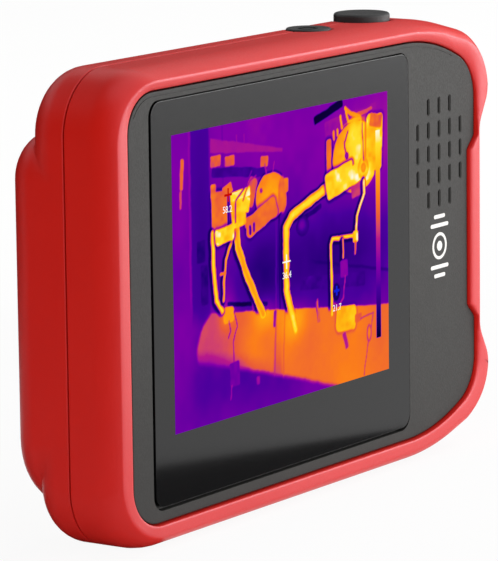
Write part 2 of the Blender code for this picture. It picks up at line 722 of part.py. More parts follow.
def make_display():
    """Cover glass, liquid crystal cell and the backlight tray behind it."""
    plate("touch_glass", glass_corners(), PANEL_FRONT, GLASS_BACK, "cover_glass", edge=GLASS_THICKNESS / 6)
    cell = display_corners()
    plate("lcd_cell", cell, LCD_FRONT, LCD_BACK, "display")
    plate("backlight_tray", cell, TRAY_FRONT, TRAY_BACK, "steel", inset=-TRAY_MARGIN, edge=TRAY_THICKNESS / 6)


def frame_openings():
    """Tools that let the speaker and the screw bosses through the mid frame."""
    hole = SPEAKER_DIAMETER + 2 * CLEARANCE
    places = [("speaker", GRILLE_X, GRILLE_Z, hole)]
    boss = SCREW_POST_DIAMETER + 2 * CLEARANCE
    places += [(f"boss_{n}", x, z, boss) for n, (x, z) in enumerate(screw_places(), 1)]
    span = (LEDGE_FRONT - OVERCUT, FRAME_BACK + OVERCUT)
    return [turned(f"frame_hole_{n}", x, z, [(d, span[0]), (d, span[1])], None) for n, x, z, d in places]


def make_mid_frame():
    """The inner frame: a tray whose rib bears on the bezel's ledge and whose floor carries the board."""
    body, panel = body_corners(), panel_corners()
    rib_top = LEDGE_BACK + CLEARANCE
    rings = [
        ring(panel, FRAME_FRONT, LEDGE_WIDTH + FRAME_RIB),
        ring(panel, rib_top, LEDGE_WIDTH),
        ring(body, rib_top, WALL + FRAME_MARGIN),
        ring(body, FRAME_BACK, WALL + FRAME_MARGIN),
    ]
    frame = solid("mid_frame", rings, "black_plastic")
    for tool in frame_openings():
        boolean(frame, tool, "DIFFERENCE")


def board_box():
    """(left, right, low, high) of the main board."""
    return (LEFT + BOARD_MARGIN, RIGHT - BOARD_MARGIN, BOARD_MARGIN, BODY_HEIGHT - BOARD_MARGIN)


def make_main_board():
    """The circuit board with a tab that carries the two switches and the port, and its screening can."""
    left, right, low, high = board_box()
    board = block("main_board", (left + right) / 2, (low + high) / 2, right - left, high - low,
                  BOARD_FRONT, BOARD_BACK, "circuit_board")
    tab_left, tab_right = POWER_X - SWITCH_WIDTH, SHUTTER_X + SWITCH_WIDTH
    tab_top = SWITCH_TOP - CLEARANCE
    tab = block("switch_tab", (tab_left + tab_right) / 2, (MID_HEIGHT + tab_top) / 2,
                tab_right - tab_left, tab_top - MID_HEIGHT, BOARD_FRONT, BOARD_BACK, None)
    boolean(board, tab, "UNION")
    port_end = WAIST_FACE - WALL - CLEARANCE
    port_tab_left = port_end - PORT_LENGTH - BOARD_TAB_MARGIN
    port_tab = block("port_tab", (port_tab_left + port_end) / 2, MID_HEIGHT, port_end - port_tab_left,
                     PORT_WIDTH + 2 * BOARD_TAB_MARGIN, BOARD_FRONT, BOARD_BACK, None)
    boolean(board, port_tab, "UNION")
    shield = rectangle(SHIELD_RIGHT - SHIELD_WIDTH / 2, MID_HEIGHT, SHIELD_WIDTH, SHIELD_HEIGHT, CLEARANCE)
    plate("processor_shield", shield, ON_BOARD, ON_BOARD + SHIELD_THICKNESS, "steel", edge=CLEARANCE)


def make_battery():
    """The flat cell between the board and the back shell, with the foam pad that holds it."""
    left, right = SHIELD_RIGHT + BATTERY_GAP, RIGHT - BATTERY_FROM_RIGHT
    cell = rectangle((left + right) / 2, MID_HEIGHT, right - left, BATTERY_HEIGHT, BATTERY_THICKNESS / 3)
    cell_back = ON_BOARD + BATTERY_THICKNESS
    plate("battery_pack", cell, ON_BOARD, cell_back, "cell_wrap", edge=BATTERY_THICKNESS / 5)
    pad_front, pad_back = cell_back + CLEARANCE, SHELL_INSIDE - CLEARANCE
    plate("battery_pad", cell, pad_front, pad_back, "foam", inset=BATTERY_THICKNESS)


def make_speaker():
    """The round speaker behind the slots."""
    front, back = PANEL_BACK + CLEARANCE, BOARD_FRONT - CLEARANCE
    rim = SPEAKER_DIAMETER - 4 * CLEARANCE
    profile = [
        (SPEAKER_DIAMETER - 8 * CLEARANCE, back),
        (SPEAKER_DIAMETER, (front + back) / 2),
        (SPEAKER_DIAMETER, front),
        (rim, front),
        (rim - 4 * CLEARANCE, front + 2 * CLEARANCE),
        (SPEAKER_DOME, front + 3 * CLEARANCE),
        (SPEAKER_DOME / 2, front + CLEARANCE),
    ]
    turned("speaker", GRILLE_X, GRILLE_Z, profile, "black_plastic")


def make_antenna():
    """The flat short-range radio coil stuck behind the panel, below the speaker."""
    corners = rectangle(GRILLE_X, ANTENNA_Z, ANTENNA_WIDTH, ANTENNA_HEIGHT, ANTENNA_TRACK)
    front, back = PANEL_BACK + CLEARANCE, PANEL_BACK + CLEARANCE + ANTENNA_THICKNESS
    rings = [ring(corners, front), ring(corners, back), ring(corners, back, ANTENNA_TRACK),
             ring(corners, front, ANTENNA_TRACK)]
    solid("nfc_antenna", rings, "copper", looped=True)


def make_buttons():
    """Each push button with the switch plunger that it drives, and the switch under it."""
    for name, x, diameter, rise, travel in button_specs():
        seat = at(x, PARTING_DEPTH, BODY_HEIGHT)
        carrier = joint_empty(f"{name}_press", seat)
        joint = {"parent": carrier, "parent_place": seat}
        top = BODY_HEIGHT + rise
        profile = [
            (diameter - 2 * BUTTON_EDGE, top),
            (diameter, top - BUTTON_EDGE),
            (diameter, FLANGE_TOP - FLANGE_THICKNESS / 2),
        ]
        button = upright(f"{name}_button", x, PARTING_DEPTH, profile, "button_plastic", **joint)
        flange = [
            [at(px, pd, z) for px, pd in flange_corners(x, diameter)] for z in (FLANGE_BOTTOM, FLANGE_TOP)
        ]
        boolean(button, solid(f"{name}_flange", flange, None), "UNION")
        profile = [(STEM_DIAMETER, FLANGE_TOP), (STEM_DIAMETER, STEM_BOTTOM)]
        stem = upright(f"{name}_stem", x, PARTING_DEPTH, profile, None, steps=SMALL_ROUND_STEPS)
        boolean(button, stem, "UNION")
        make_switch(name, x, travel, joint)


def flange_corners(x, diameter):
    """(x, depth) corners of the ears that keep a button in."""
    half, reach = diameter / 2 + FLANGE_OVERHANG, FLANGE_DEPTH / 2
    return [
        (x - half, PARTING_DEPTH - reach),
        (x + half, PARTING_DEPTH - reach),
        (x + half, PARTING_DEPTH + reach),
        (x - half, PARTING_DEPTH + reach),
    ]


def make_switch(name, x, travel, joint):
    """A side-acting switch on the board's tab, bored for its plunger."""
    low = SWITCH_TOP - SWITCH_HEIGHT
    near = PARTING_DEPTH - SWITCH_DEPTH / 2
    body = block(f"{name}_switch", x, (low + SWITCH_TOP) / 2, SWITCH_WIDTH, SWITCH_HEIGHT,
                 near, near + SWITCH_DEPTH, "black_plastic")
    plunger_low = PLUNGER_TOP - PLUNGER_LENGTH
    bore = PLUNGER_DIAMETER + 2 * CLEARANCE
    profile = [(bore, plunger_low - travel - CLEARANCE), (bore, SWITCH_TOP + OVERCUT)]
    tool = upright(f"{name}_switch_bore", x, PARTING_DEPTH, profile, None, steps=SMALL_ROUND_STEPS)
    boolean(body, tool, "DIFFERENCE")
    profile = [(PLUNGER_DIAMETER, plunger_low), (PLUNGER_DIAMETER, PLUNGER_TOP)]
    upright(f"{name}_plunger", x, PARTING_DEPTH, profile, "white_plastic", steps=SMALL_ROUND_STEPS, **joint)


def make_charging_port():
    """The charging socket on the board and the hinged rubber cover over it."""
    mouth = WAIST_FACE - WALL - CLEARANCE
    start = mouth - PORT_LENGTH
    radius = PORT_THICKNESS / 2 - CLEARANCE
    socket = side_block("usb_connector", PORT_WIDTH, PORT_THICKNESS, radius, start, mouth, "steel")
    bore = side_block("usb_mouth", PORT_WIDTH - 2 * PORT_WALL, PORT_THICKNESS - 2 * PORT_WALL, radius - PORT_WALL,
                      start + PORT_WALL * 2, mouth + OVERCUT, None)
    boolean(socket, bore, "DIFFERENCE")
    hinge = at(WAIST_FACE, port_depth(), MID_HEIGHT - COVER_HEIGHT / 2)
    joint = {"parent": joint_empty("usb_cover_hinge", hinge), "parent_place": hinge}
    inside = WAIST_FACE - COVER_THICKNESS
    cover = side_block("usb_cover", COVER_HEIGHT, COVER_DEPTH, COVER_RADIUS, inside, WAIST_FACE, "red_rubber", **joint)
    plug = side_block("cover_plug", PORT_WIDTH - 2 * COVER_PLUG_SLACK, PORT_THICKNESS - 2 * COVER_PLUG_SLACK,
                      PORT_THICKNESS / 2 - COVER_PLUG_SLACK - PORT_WALL, inside - COVER_PLUG_LENGTH,
                      inside + COVER_THICKNESS / 2, None)
    boolean(cover, plug, "UNION")


def lens_panel_corners():
    """The outline of the dark plate set into the pod's face."""
    return [
        (x, z, LENS_PANEL_RADIUS, BEND_STEPS)
        for x, z, _, _ in rectangle(POD_CENTRE_X, MID_HEIGHT, POD_WIDTH - 2 * LENS_PANEL_MARGIN,
                                    2 * (POD_HALF_HEIGHT - LENS_PANEL_MARGIN), LENS_PANEL_RADIUS)
    ]


def eye_places():
    """(name, x) of the two small windows below the thermal lens."""
    return [("camera", LENS_X - EYE_SPREAD), ("lamp", LENS_X + EYE_SPREAD)]


def eye_bores():
    """The sight holes through the pod's wall."""
    return [(f"{name}_bore", x, EYE_Z, EYE_BORE) for name, x in eye_places()]


def make_lens_panel():
    """The dark plate on the pod, with a hole for the barrel and two for the windows."""
    panel = plate("lens_panel", lens_panel_corners(), LENS_PANEL_FRONT, TOTAL_DEPTH, "black_plastic",
                  edge=LENS_PANEL_THICKNESS / 5)
    holes = [("barrel", LENS_X, LENS_Z, LENS_BARREL_DIAMETER)]
    holes += [(name, x, EYE_Z, EYE_DIAMETER) for name, x in eye_places()]
    for name, x, z, diameter in holes:
        hole = diameter + 2 * CLEARANCE
        profile = [(hole, LENS_PANEL_FRONT - OVERCUT), (hole, TOTAL_DEPTH + OVERCUT)]
        boolean(panel, turned(f"lens_panel_{name}_hole", x, z, profile, None), "DIFFERENCE")


def make_thermal_lens():
    """Barrel with its flange, the germanium lens in it, the ring that holds the lens and the barrel's seal."""
    flange_back = POD_INSIDE - SEAL_THICKNESS - 2 * CLEARANCE
    flange_front = flange_back - BARREL_FLANGE_THICKNESS
    flange = LENS_BARREL_DIAMETER + 2 * BARREL_FLANGE
    bore = LENS_DIAMETER + 2 * CLEARANCE
    lens_back = BARREL_END - LENS_RECESS - RETAINER_THICKNESS - CLEARANCE
    lens_front = lens_back - LENS_THICKNESS
    throat = LENS_DIAMETER - 2 * LENS_SHOULDER
    shoulder = lens_front - CLEARANCE
    turned("lens_barrel", LENS_X, LENS_Z, [
        (throat, BARREL_START), (LENS_BARREL_DIAMETER, BARREL_START), (LENS_BARREL_DIAMETER, flange_front),
        (flange, flange_front), (flange, flange_back), (LENS_BARREL_DIAMETER, flange_back),
        (LENS_BARREL_DIAMETER, BARREL_END - CLEARANCE), (LENS_BARREL_DIAMETER - 2 * CLEARANCE, BARREL_END),
        (bore, BARREL_END), (bore, shoulder), (throat, shoulder),
    ], "aluminium", bored=True)
    dome = [
        (LENS_DIAMETER * share, lens_back + LENS_BULGE * (1 - share * share))
        for share in (0.9, 0.7, 0.4, 0.15)
    ]
    turned("ir_lens", LENS_X, LENS_Z, [(LENS_DIAMETER, lens_front), (LENS_DIAMETER, lens_back), *dome], "germanium")
    hold = lens_back + CLEARANCE + LENS_BULGE * 0.3
    inner = LENS_DIAMETER - 2 * LENS_SHOULDER
    outer = bore - 2 * CLEARANCE
    end = BARREL_END - CLEARANCE
    turned("lens_retainer", LENS_X, LENS_Z, [
        (outer, hold), (outer, end), (inner + 2 * LENS_SHOULDER / 3, end), (inner, hold),
    ], "aluminium", bored=True)
    seal_front, seal_back = flange_back + CLEARANCE, POD_INSIDE - CLEARANCE
    seal_inner = LENS_BARREL_DIAMETER + 2 * CLEARANCE
    turned("lens_seal", LENS_X, LENS_Z, [
        (flange, seal_front), (flange, seal_back), (seal_inner, seal_back), (seal_inner, seal_front),
    ], "foam", bored=True)


def make_eyes():
    """The visible-light camera and the lamp, each behind its own window in the lens panel."""
    face = POD_INSIDE - CLEARANCE
    for name, x in eye_places():
        window_front = LENS_PANEL_FRONT + CLEARANCE
        edge = EYE_THICKNESS / 4
        turned(f"{name}_window", x, EYE_Z, [
            (EYE_DIAMETER, window_front), (EYE_DIAMETER, window_front + EYE_THICKNESS - edge),
            (EYE_DIAMETER - 2 * edge, window_front + EYE_THICKNESS),
        ], "clear_lens")
    (_, camera_x), (_, lamp_x) = eye_places()
    nose = face - CAMERA_NOSE_LENGTH
    camera = block("camera_module", camera_x, EYE_Z, CAMERA_SIZE, CAMERA_SIZE, nose - CAMERA_BODY, nose, "black_plastic")
    profile = [(CAMERA_NOSE, nose - CAMERA_BODY / 2), (CAMERA_NOSE, face)]
    boolean(camera, turned("camera_nose", camera_x, EYE_Z, profile, None, steps=SMALL_ROUND_STEPS), "UNION")
    turned("led_lamp", lamp_x, EYE_Z, [
        (LAMP_DIAMETER, face - LAMP_BASE), (LAMP_DIAMETER, face), (LAMP_CHIP, face),
        (LAMP_CHIP, face + LAMP_CHIP_HEIGHT),
    ], "white_plastic", steps=SMALL_ROUND_STEPS)


def make_sensor():
    """The thermal sensor on its own board, joined to the main board by a connector."""
    board_end = SENSOR_BOARD_FRONT + SENSOR_BOARD_THICKNESS
    block("sensor_board", LENS_X, LENS_Z - SENSOR_SIZE / 4, SENSOR_BOARD_SIZE, SENSOR_BOARD_SIZE,
          SENSOR_BOARD_FRONT, board_end, "circuit_board")
    block("sensor_connector", LENS_X, LENS_Z, CONNECTOR_LENGTH, CONNECTOR_WIDTH,
          ON_BOARD, ON_BOARD + CONNECTOR_HEIGHT, "black_plastic")
    corners = rectangle(LENS_X, LENS_Z, SENSOR_SIZE, SENSOR_SIZE, CLEARANCE)
    plate("thermal_sensor", corners, SENSOR_FRONT, SENSOR_BACK, "white_plastic", edge=CLEARANCE)


def flag_pivot():
    """(x, z) of the calibration flag's pin, one arm's length from the lens axis."""
    across = math.sqrt(max(FLAG_ARM**2 - PIVOT_BELOW_LENS**2, 0.0))
    return LENS_X + across, LENS_Z - PIVOT_BELOW_LENS


def make_calibration_flag():
    """The small motor and the paddle that it swings across the sensor. It is stored parked clear of the lens."""
    x, z = flag_pivot()
    motor_front = SENSOR_FRONT
    profile = [
        (FLAG_MOTOR_DIAMETER, motor_front), (FLAG_MOTOR_DIAMETER, SENSOR_BACK),
        (FLAG_PIN_DIAMETER, SENSOR_BACK), (FLAG_PIN_DIAMETER, FLAG_BACK + CLEARANCE),
    ]
    turned("flag_motor", x, z, profile, "steel", steps=SMALL_ROUND_STEPS)
    pivot = at(x, FLAG_FRONT, z)
    joint = {"parent": joint_empty("flag_swing", pivot), "parent_place": pivot}
    covering = math.atan2(LENS_Z - z, LENS_X - x)
    parked = covering + math.radians(FLAG_PARK_DEGREES)
    along = Vector((math.cos(parked), math.sin(parked)))
    across = Vector((-along.y, along.x)) * (FLAG_ARM_WIDTH / 2)
    paddle = Vector((x, z)) + along * FLAG_ARM
    profile = [(FLAG_DIAMETER, FLAG_FRONT), (FLAG_DIAMETER, FLAG_BACK)]
    flag = turned("calibration_flag", paddle.x, paddle.y, profile, "aluminium", **joint)
    ends = [Vector((x, z)), paddle]
    outline_points = [ends[0] + across, ends[1] + across, ends[1] - across, ends[0] - across]
    arm = [[at(p.x, depth, p.y) for p in outline_points] for depth in (FLAG_FRONT, FLAG_BACK)]
    boolean(flag, solid("flag_arm", arm, None), "UNION")
    profile = [(FLAG_HUB_DIAMETER, FLAG_FRONT), (FLAG_HUB_DIAMETER, FLAG_BACK)]
    boolean(flag, turned("flag_hub", x, z, profile, None, steps=SMALL_ROUND_STEPS), "UNION")
    bore = FLAG_PIN_DIAMETER + 2 * CLEARANCE
    profile = [(bore, FLAG_FRONT - OVERCUT), (bore, FLAG_BACK + OVERCUT)]
    boolean(flag, turned("flag_bore", x, z, profile, None, steps=SMALL_ROUND_STEPS), "DIFFERENCE")


def main():
    """Build every piece of the camera."""
    make_front_bezel()
    make_rear_shell()
    make_case_screws()
    make_front_panel()
    make_display()
    make_mid_frame()
    make_main_board()
    make_battery()
    make_speaker()
    make_antenna()
    make_buttons()
    make_charging_port()
    make_lens_panel()
    make_thermal_lens()
    make_eyes()
    make_sensor()
    make_calibration_flag()


main()
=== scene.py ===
"""Looks of the pocket thermal imaging camera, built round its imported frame.

Sizes are in millimetres, and depths run from the crest of the front rim to the back, as they do in
the part's source.
"""

import logging
import math
from dataclasses import dataclass, field
from enum import Enum
from typing import Any

import bmesh
import bpy
import numpy as np
from mathutils import Matrix, Vector


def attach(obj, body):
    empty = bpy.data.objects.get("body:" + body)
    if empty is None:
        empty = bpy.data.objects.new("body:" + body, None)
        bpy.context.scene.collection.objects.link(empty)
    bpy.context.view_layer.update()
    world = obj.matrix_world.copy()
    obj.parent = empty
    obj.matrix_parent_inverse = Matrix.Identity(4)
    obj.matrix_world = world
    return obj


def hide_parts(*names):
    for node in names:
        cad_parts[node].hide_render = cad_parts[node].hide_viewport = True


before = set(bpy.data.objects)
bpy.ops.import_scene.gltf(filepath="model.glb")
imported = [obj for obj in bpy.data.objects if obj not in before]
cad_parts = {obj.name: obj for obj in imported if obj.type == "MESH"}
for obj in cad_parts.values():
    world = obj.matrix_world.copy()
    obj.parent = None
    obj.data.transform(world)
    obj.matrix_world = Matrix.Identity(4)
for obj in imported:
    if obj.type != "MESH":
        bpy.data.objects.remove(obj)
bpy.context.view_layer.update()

LOG = logging.getLogger("thermal_camera")
MM = 0.001
TOTAL_DEPTH = 24.5
HOUSING = "housing"

# Places that several pieces keep to.
POWER_X = 13.4
SHUTTER_X = 31.8
PORT_HEIGHT = 42.0
PORT_DEPTH = 11.2
LENS_CENTRE = (-35.6, 51.0)
EYES_X = (-45.6, -25.6)
EYES_HEIGHT = 27.0

# Edges that bend less than this run straight on, and no corner gets sharper than the radius.
STRAIGHT = 1e-6
LEAST_RADIUS = 0.1

# Points, diameters with places along an axis, or depths with insets.
Pairs = list[tuple[float, float]]


class Axis(Enum):
    """The direction that a round piece is turned about."""

    DEPTH = "depth"
    UPRIGHT = "upright"


def at(x: float, depth: float, z: float) -> Vector:
    """Return a point of the part's frame in millimetres, from a depth behind the front rim."""
    return Vector((x, depth - TOTAL_DEPTH / 2, z))


def linear(code: str) -> tuple[float, float, float, float]:
    """Turn an sRGB hex colour into linear light.

    Args:
        code: Six hex digits after a hash.

    Returns:
        Red, green, blue and a full alpha.
    """
    parts = [int(code[i:i + 2], 16) / 255 for i in (1, 3, 5)]
    light = [p / 12.92 if p <= 0.04045 else ((p + 0.055) / 1.055) ** 2.4 for p in parts]
    return (*light, 1.0)


def smoothstep(low: Any, high: Any, value: Any) -> Any:
    """Return 0 before low, 1 after high and a smooth rise between them, either way round."""
    share = np.clip((value - low) / (high - low), 0, 1)
    return share * share * (3 - 2 * share)


def add_node(tree: bpy.types.NodeTree, kind: str, inputs: dict[Any, Any] | None = None,
             **settings: Any) -> bpy.types.Node:
    """Add a node with its settings, values and links.

    Args:
        tree: The node tree.
        kind: The node's type name.
        inputs: Socket name or number to a value or to another node's output socket.
        **settings: Properties of the node.

    Returns:
        The new node.
    """
    made = tree.nodes.new(kind)
    for name, value in settings.items():
        setattr(made, name, value)
    for key, value in (inputs or {}).items():
        if isinstance(value, bpy.types.NodeSocket):
            tree.links.new(value, made.inputs[key])
        else:
            made.inputs[key].default_value = value
    return made


def blank_material(name: str) -> bpy.types.Material:
    """Return a new material with an empty node tree."""
    material = bpy.data.materials.new(name)
    material.use_nodes = True
    material.node_tree.nodes.clear()
    return material


def ray_share(tree: bpy.types.NodeTree, *kinds: str) -> bpy.types.NodeSocket:
    """Return a socket that is 1 for rays of any of these kinds and 0 for the others."""
    path = add_node(tree, "ShaderNodeLightPath")
    share = path.outputs[kinds[0]]
    for kind in kinds[1:]:
        either = {0: share, 1: path.outputs[kind]}
        share = add_node(tree, "ShaderNodeMath", either, operation="MAXIMUM").outputs[0]
    return share


def begin() -> None:
    """Leave edit mode and deselect everything."""
    if bpy.context.mode != "OBJECT":
        bpy.ops.object.mode_set(mode="OBJECT")
    bpy.ops.object.select_all(action="DESELECT")


def choose(piece: bpy.types.Object) -> None:
    """Make one piece the only selected and active one."""
    begin()
    piece.select_set(True)
    bpy.context.view_layer.objects.active = piece


def name_piece(name: str) -> bpy.types.Object:
    """Leave edit mode and give the active object and its mesh a name."""
    piece = bpy.context.active_object
    begin()
    piece.name = name
    piece.data.name = name
    return piece


def modify(piece: bpy.types.Object, kind: str, **settings: Any) -> None:
    """Add a modifier with its settings to a piece and apply it."""
    choose(piece)
    bpy.ops.object.modifier_add(type=kind)
    modifier = piece.modifiers[-1]
    for name, value in settings.items():
        setattr(modifier, name, value)
    bpy.ops.object.modifier_apply(modifier=modifier.name)


def smooth(piece: bpy.types.Object, degrees: float = 32.0) -> bpy.types.Object:
    """Shade a piece smooth apart from its sharp edges, and keep its broad faces flat."""
    choose(piece)
    bpy.ops.object.shade_smooth_by_angle(angle=math.radians(degrees))
    modify(piece, "WEIGHTED_NORMAL", keep_sharp=True)
    return piece


def join(pieces: list[bpy.types.Object]) -> bpy.types.Object:
    """Join pieces into the first of them, which stays active."""
    begin()
    for piece in pieces:
        piece.select_set(True)
    bpy.context.view_layer.objects.active = pieces[0]
    bpy.ops.object.join()
    return pieces[0]


def loft(name: str, rings: list[list[Vector]], looped: bool = False) -> bpy.types.Object:
    """Extrude a circle from ring to ring.

    Args:
        name: The piece's name.
        rings: Rings of equal length, in millimetres.
        looped: Whether the last ring joins the first. Otherwise the ends are filled.

    Returns:
        A closed piece, in millimetres until it is fitted.
    """
    begin()
    count = len(rings[0])
    bpy.ops.mesh.primitive_circle_add(vertices=count, radius=1.0, enter_editmode=True)
    bpy.ops.mesh.select_mode(type="EDGE")
    mesh = bpy.context.active_object.data
    order = list(range(count))
    for number, points in enumerate(rings + rings[:1] if looped else rings):
        known = len(bmesh.from_edit_mesh(mesh).verts)
        if number:
            bpy.ops.mesh.extrude_edges_move()
        shape = bmesh.from_edit_mesh(mesh)
        shape.verts.index_update()
        shape.verts.ensure_lookup_table()
        if number:
            links = (shape.verts[place].link_edges for place in order)
            order = [max(v.index for edge in edges for v in edge.verts if v.index >= known)
                     for edges in links]
        for place, point in zip(order, points):
            shape.verts[place].co = point
        bmesh.update_edit_mesh(mesh)
    if looped:
        bpy.ops.mesh.select_all(action="SELECT")
        bpy.ops.mesh.remove_doubles(threshold=0.0001)
    else:
        bpy.ops.mesh.edge_face_add()
        bpy.ops.mesh.select_all(action="DESELECT")
        shape = bmesh.from_edit_mesh(mesh)
        for edge in shape.edges:
            edge.select_set(all(v.index < count for v in edge.verts))
        bmesh.update_edit_mesh(mesh)
        bpy.ops.mesh.edge_face_add()
    bpy.ops.mesh.select_all(action="SELECT")
    bpy.ops.mesh.normals_make_consistent(inside=False)
    return name_piece(name)


def turn(name: str, axis: Axis, centre: Vector, profile: Pairs, bored: bool = False,
         steps: int = 64) -> bpy.types.Object:
    """Make a round piece from a profile.

    Args:
        name: The piece's name.
        axis: The direction that it is turned about.
        centre: A point on the axis, in millimetres. Its place along the axis isn't used.
        profile: Diameter and place along the axis: a depth, or a height.
        bored: Whether the profile closes on itself, as a ring does.
        steps: Sides round the piece.

    Returns:
        The turned piece.
    """
    angles = [2 * math.pi * k / steps for k in range(steps)]
    rings = []
    for diameter, place in profile:
        across = [(diameter / 2 * math.cos(a), diameter / 2 * math.sin(a)) for a in angles]
        if axis is Axis.DEPTH:
            rings.append([at(centre.x + u, place, centre.z + v) for u, v in across])
        else:
            rings.append([Vector((centre.x + u, centre.y + v, place)) for u, v in across])
    return smooth(loft(name, rings, bored))


def combine(piece: bpy.types.Object, tool: bpy.types.Object,
            operation: str = "DIFFERENCE") -> bpy.types.Object:
    """Apply a Boolean with a tool piece, which is then removed.

    Args:
        piece: The piece to shape.
        tool: The piece that shapes it.
        operation: DIFFERENCE, UNION or INTERSECT.

    Returns:
        The shaped piece.
    """
    modify(piece, "BOOLEAN", operation=operation, object=tool)
    bpy.data.objects.remove(tool, do_unlink=True)
    return piece


def fit(piece: bpy.types.Object, material: bpy.types.Material, body: str, slot: str,
        *nodes: str) -> bpy.types.Object:
    """Bring a finished piece from millimetres to metres, dress it and fix it to a body.

    Args:
        piece: The piece.
        material: Its finish.
        body: The body that it rides on.
        slot: The record's material slot; not used.
        *nodes: The CAD nodes that it stands for.

    Returns:
        The same piece.
    """
    choose(piece)
    piece.scale = (MM, MM, MM)
    bpy.ops.object.transform_apply(location=False, rotation=False, scale=True)
    piece.data.materials.clear()
    piece.data.materials.append(material)
    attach(piece, body)
    if nodes:
        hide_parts(*nodes)
    LOG.info("%s: %d faces on %s", piece.name, len(piece.data.polygons), body)
    return piece


@dataclass(frozen=True)
class Corner:
    """A rounded corner of an outline, seen from the front.

    One on a straight edge spreads its points over its radius, so that they pair with the corners of
    another outline.
    """

    x: float
    z: float
    radius: float
    steps: int


@dataclass(frozen=True)
class Outline:
    """A clockwise outline of rounded corners, seen from the front."""

    corners: tuple[Corner, ...]

    @staticmethod
    def mirrored(middle: float, upper: list[tuple[float, float, float, int]]) -> "Outline":
        """Complete an outline from its upper half.

        Args:
            middle: The height of the mirror line.
            upper: x, height above the line, radius and steps of each corner.

        Returns:
            The whole outline.
        """
        top = [Corner(x, middle + z, r, n) for x, z, r, n in upper]
        bottom = [Corner(x, middle - z, r, n) for x, z, r, n in reversed(upper)]
        return Outline(tuple(top + bottom))

    @staticmethod
    def rectangle(x: float, z: float, width: float, height: float, radius: float,
                  steps: int = 8) -> "Outline":
        """Return a rounded rectangle about a centre."""
        x0, x1, z0, z1 = x - width / 2, x + width / 2, z - height / 2, z + height / 2
        places = ((x0, z1), (x1, z1), (x1, z0), (x0, z0))
        return Outline(tuple(Corner(a, b, radius, steps) for a, b in places))

    def moved(self, inset: float) -> list[Corner]:
        """Return the corners with every edge moved inwards by a distance."""
        lines = []
        for a, b in zip(self.corners, self.corners[1:] + self.corners[:1]):
            along = Vector((b.x - a.x, b.z - a.z)).normalized()
            lines.append((Vector((a.x, a.z)) + inset * Vector((along.y, -along.x)), along))
        made = []
        for i, corner in enumerate(self.corners):
            (start, before), (point, after) = lines[i - 1], lines[i]
            bend = before.x * after.y - before.y * after.x
            if abs(bend) < STRAIGHT:
                made.append(Corner(point.x, point.y, corner.radius, corner.steps))
                continue
            run = ((point.x - start.x) * after.y - (point.y - start.y) * after.x) / bend
            place = start + before * run
            radius = corner.radius - inset if bend < 0 else corner.radius + inset
            made.append(Corner(place.x, place.y, max(radius, LEAST_RADIUS), corner.steps))
        return made

    def points(self, inset: float = 0.0) -> list[Vector]:
        """Return the outline's points, with an arc at each corner."""
        made = []
        corners = self.moved(inset)
        for i, corner in enumerate(corners):
            tip = Vector((corner.x, corner.z))
            near, far = corners[i - 1], corners[(i + 1) % len(corners)]
            before = (Vector((near.x, near.z)) - tip).normalized()
            after = (Vector((far.x, far.z)) - tip).normalized()
            if abs(before.x * after.y - before.y * after.x) < STRAIGHT:
                shares = [k / corner.steps - 0.5 for k in range(corner.steps + 1)]
                made += [tip + after * (corner.radius * share) for share in shares]
                continue
            half = before.angle(after) / 2
            centre = tip + (before + after).normalized() * (corner.radius / math.sin(half))
            start = tip + before * (corner.radius / math.tan(half)) - centre
            sweep = math.copysign(math.pi - 2 * half, before.y * after.x - before.x * after.y)
            for k in range(corner.steps + 1):
                angle = sweep * k / corner.steps
                c, s = math.cos(angle), math.sin(angle)
                made.append(centre + Vector((start.x * c - start.y * s, start.x * s + start.y * c)))
        return made

    def ring(self, depth: float, inset: float = 0.0) -> list[Vector]:
        """Return the outline's points at one depth."""
        return [at(p.x, depth, p.y) for p in self.points(inset)]

    def rings(self, steps: Pairs) -> list[list[Vector]]:
        """Return a ring for each depth and its inset."""
        return [self.ring(depth, inset) for depth, inset in steps]

    def block(self, name: str, near: float, far: float, inset: float = 0.0) -> bpy.types.Object:
        """Return a straight-sided piece between two depths."""
        return loft(name, self.rings([(near, inset), (far, inset)]))


@dataclass(frozen=True)
class SoftTouchRubber:
    """Thermoplastic elastomer moulded over the shells.

    A spark-eroded mould leaves a fine even grain, which spreads highlights into broad pale bands.
    """

    name: str = "red_soft_touch_elastomer"
    colour: str = "#d4180c"
    pale: str = "#d91c0f"
    roughness: float = 0.45
    gloss: float = 0.74
    gloss_tint: str = "#e2eeff"
    grain_mm: float = 0.28
    mottle_mm: float = 9.0
    bump: float = 0.04
    spread: float = 0.06

    def make(self) -> bpy.types.Material:
        """Return the material."""
        colours, sizes = (self.colour, self.pale), (self.grain_mm, self.mottle_mm)
        made = grained(self.name, colours, self.roughness, self.spread, sizes, self.bump)
        surface = made.node_tree.nodes["surface"]
        surface.inputs["Specular IOR Level"].default_value = self.gloss
        surface.inputs["Specular Tint"].default_value = linear(self.gloss_tint)
        return made


@dataclass(frozen=True)
class MouldedPlastic:
    """Glass-filled ABS from a textured mould: an even colour with a fine leathery grain."""

    name: str
    colours: tuple[str, str]
    roughness: float
    grain_mm: float = 0.35
    mottle_mm: float = 6.0
    bump: float = 0.08
    gloss: float = 0.5
    spread: float = 0.08

    def make(self) -> bpy.types.Material:
        """Return the material."""
        sizes = (self.grain_mm, self.mottle_mm)
        made = grained(self.name, self.colours, self.roughness, self.spread, sizes, self.bump)
        made.node_tree.nodes["surface"].inputs["Specular IOR Level"].default_value = self.gloss
        return made


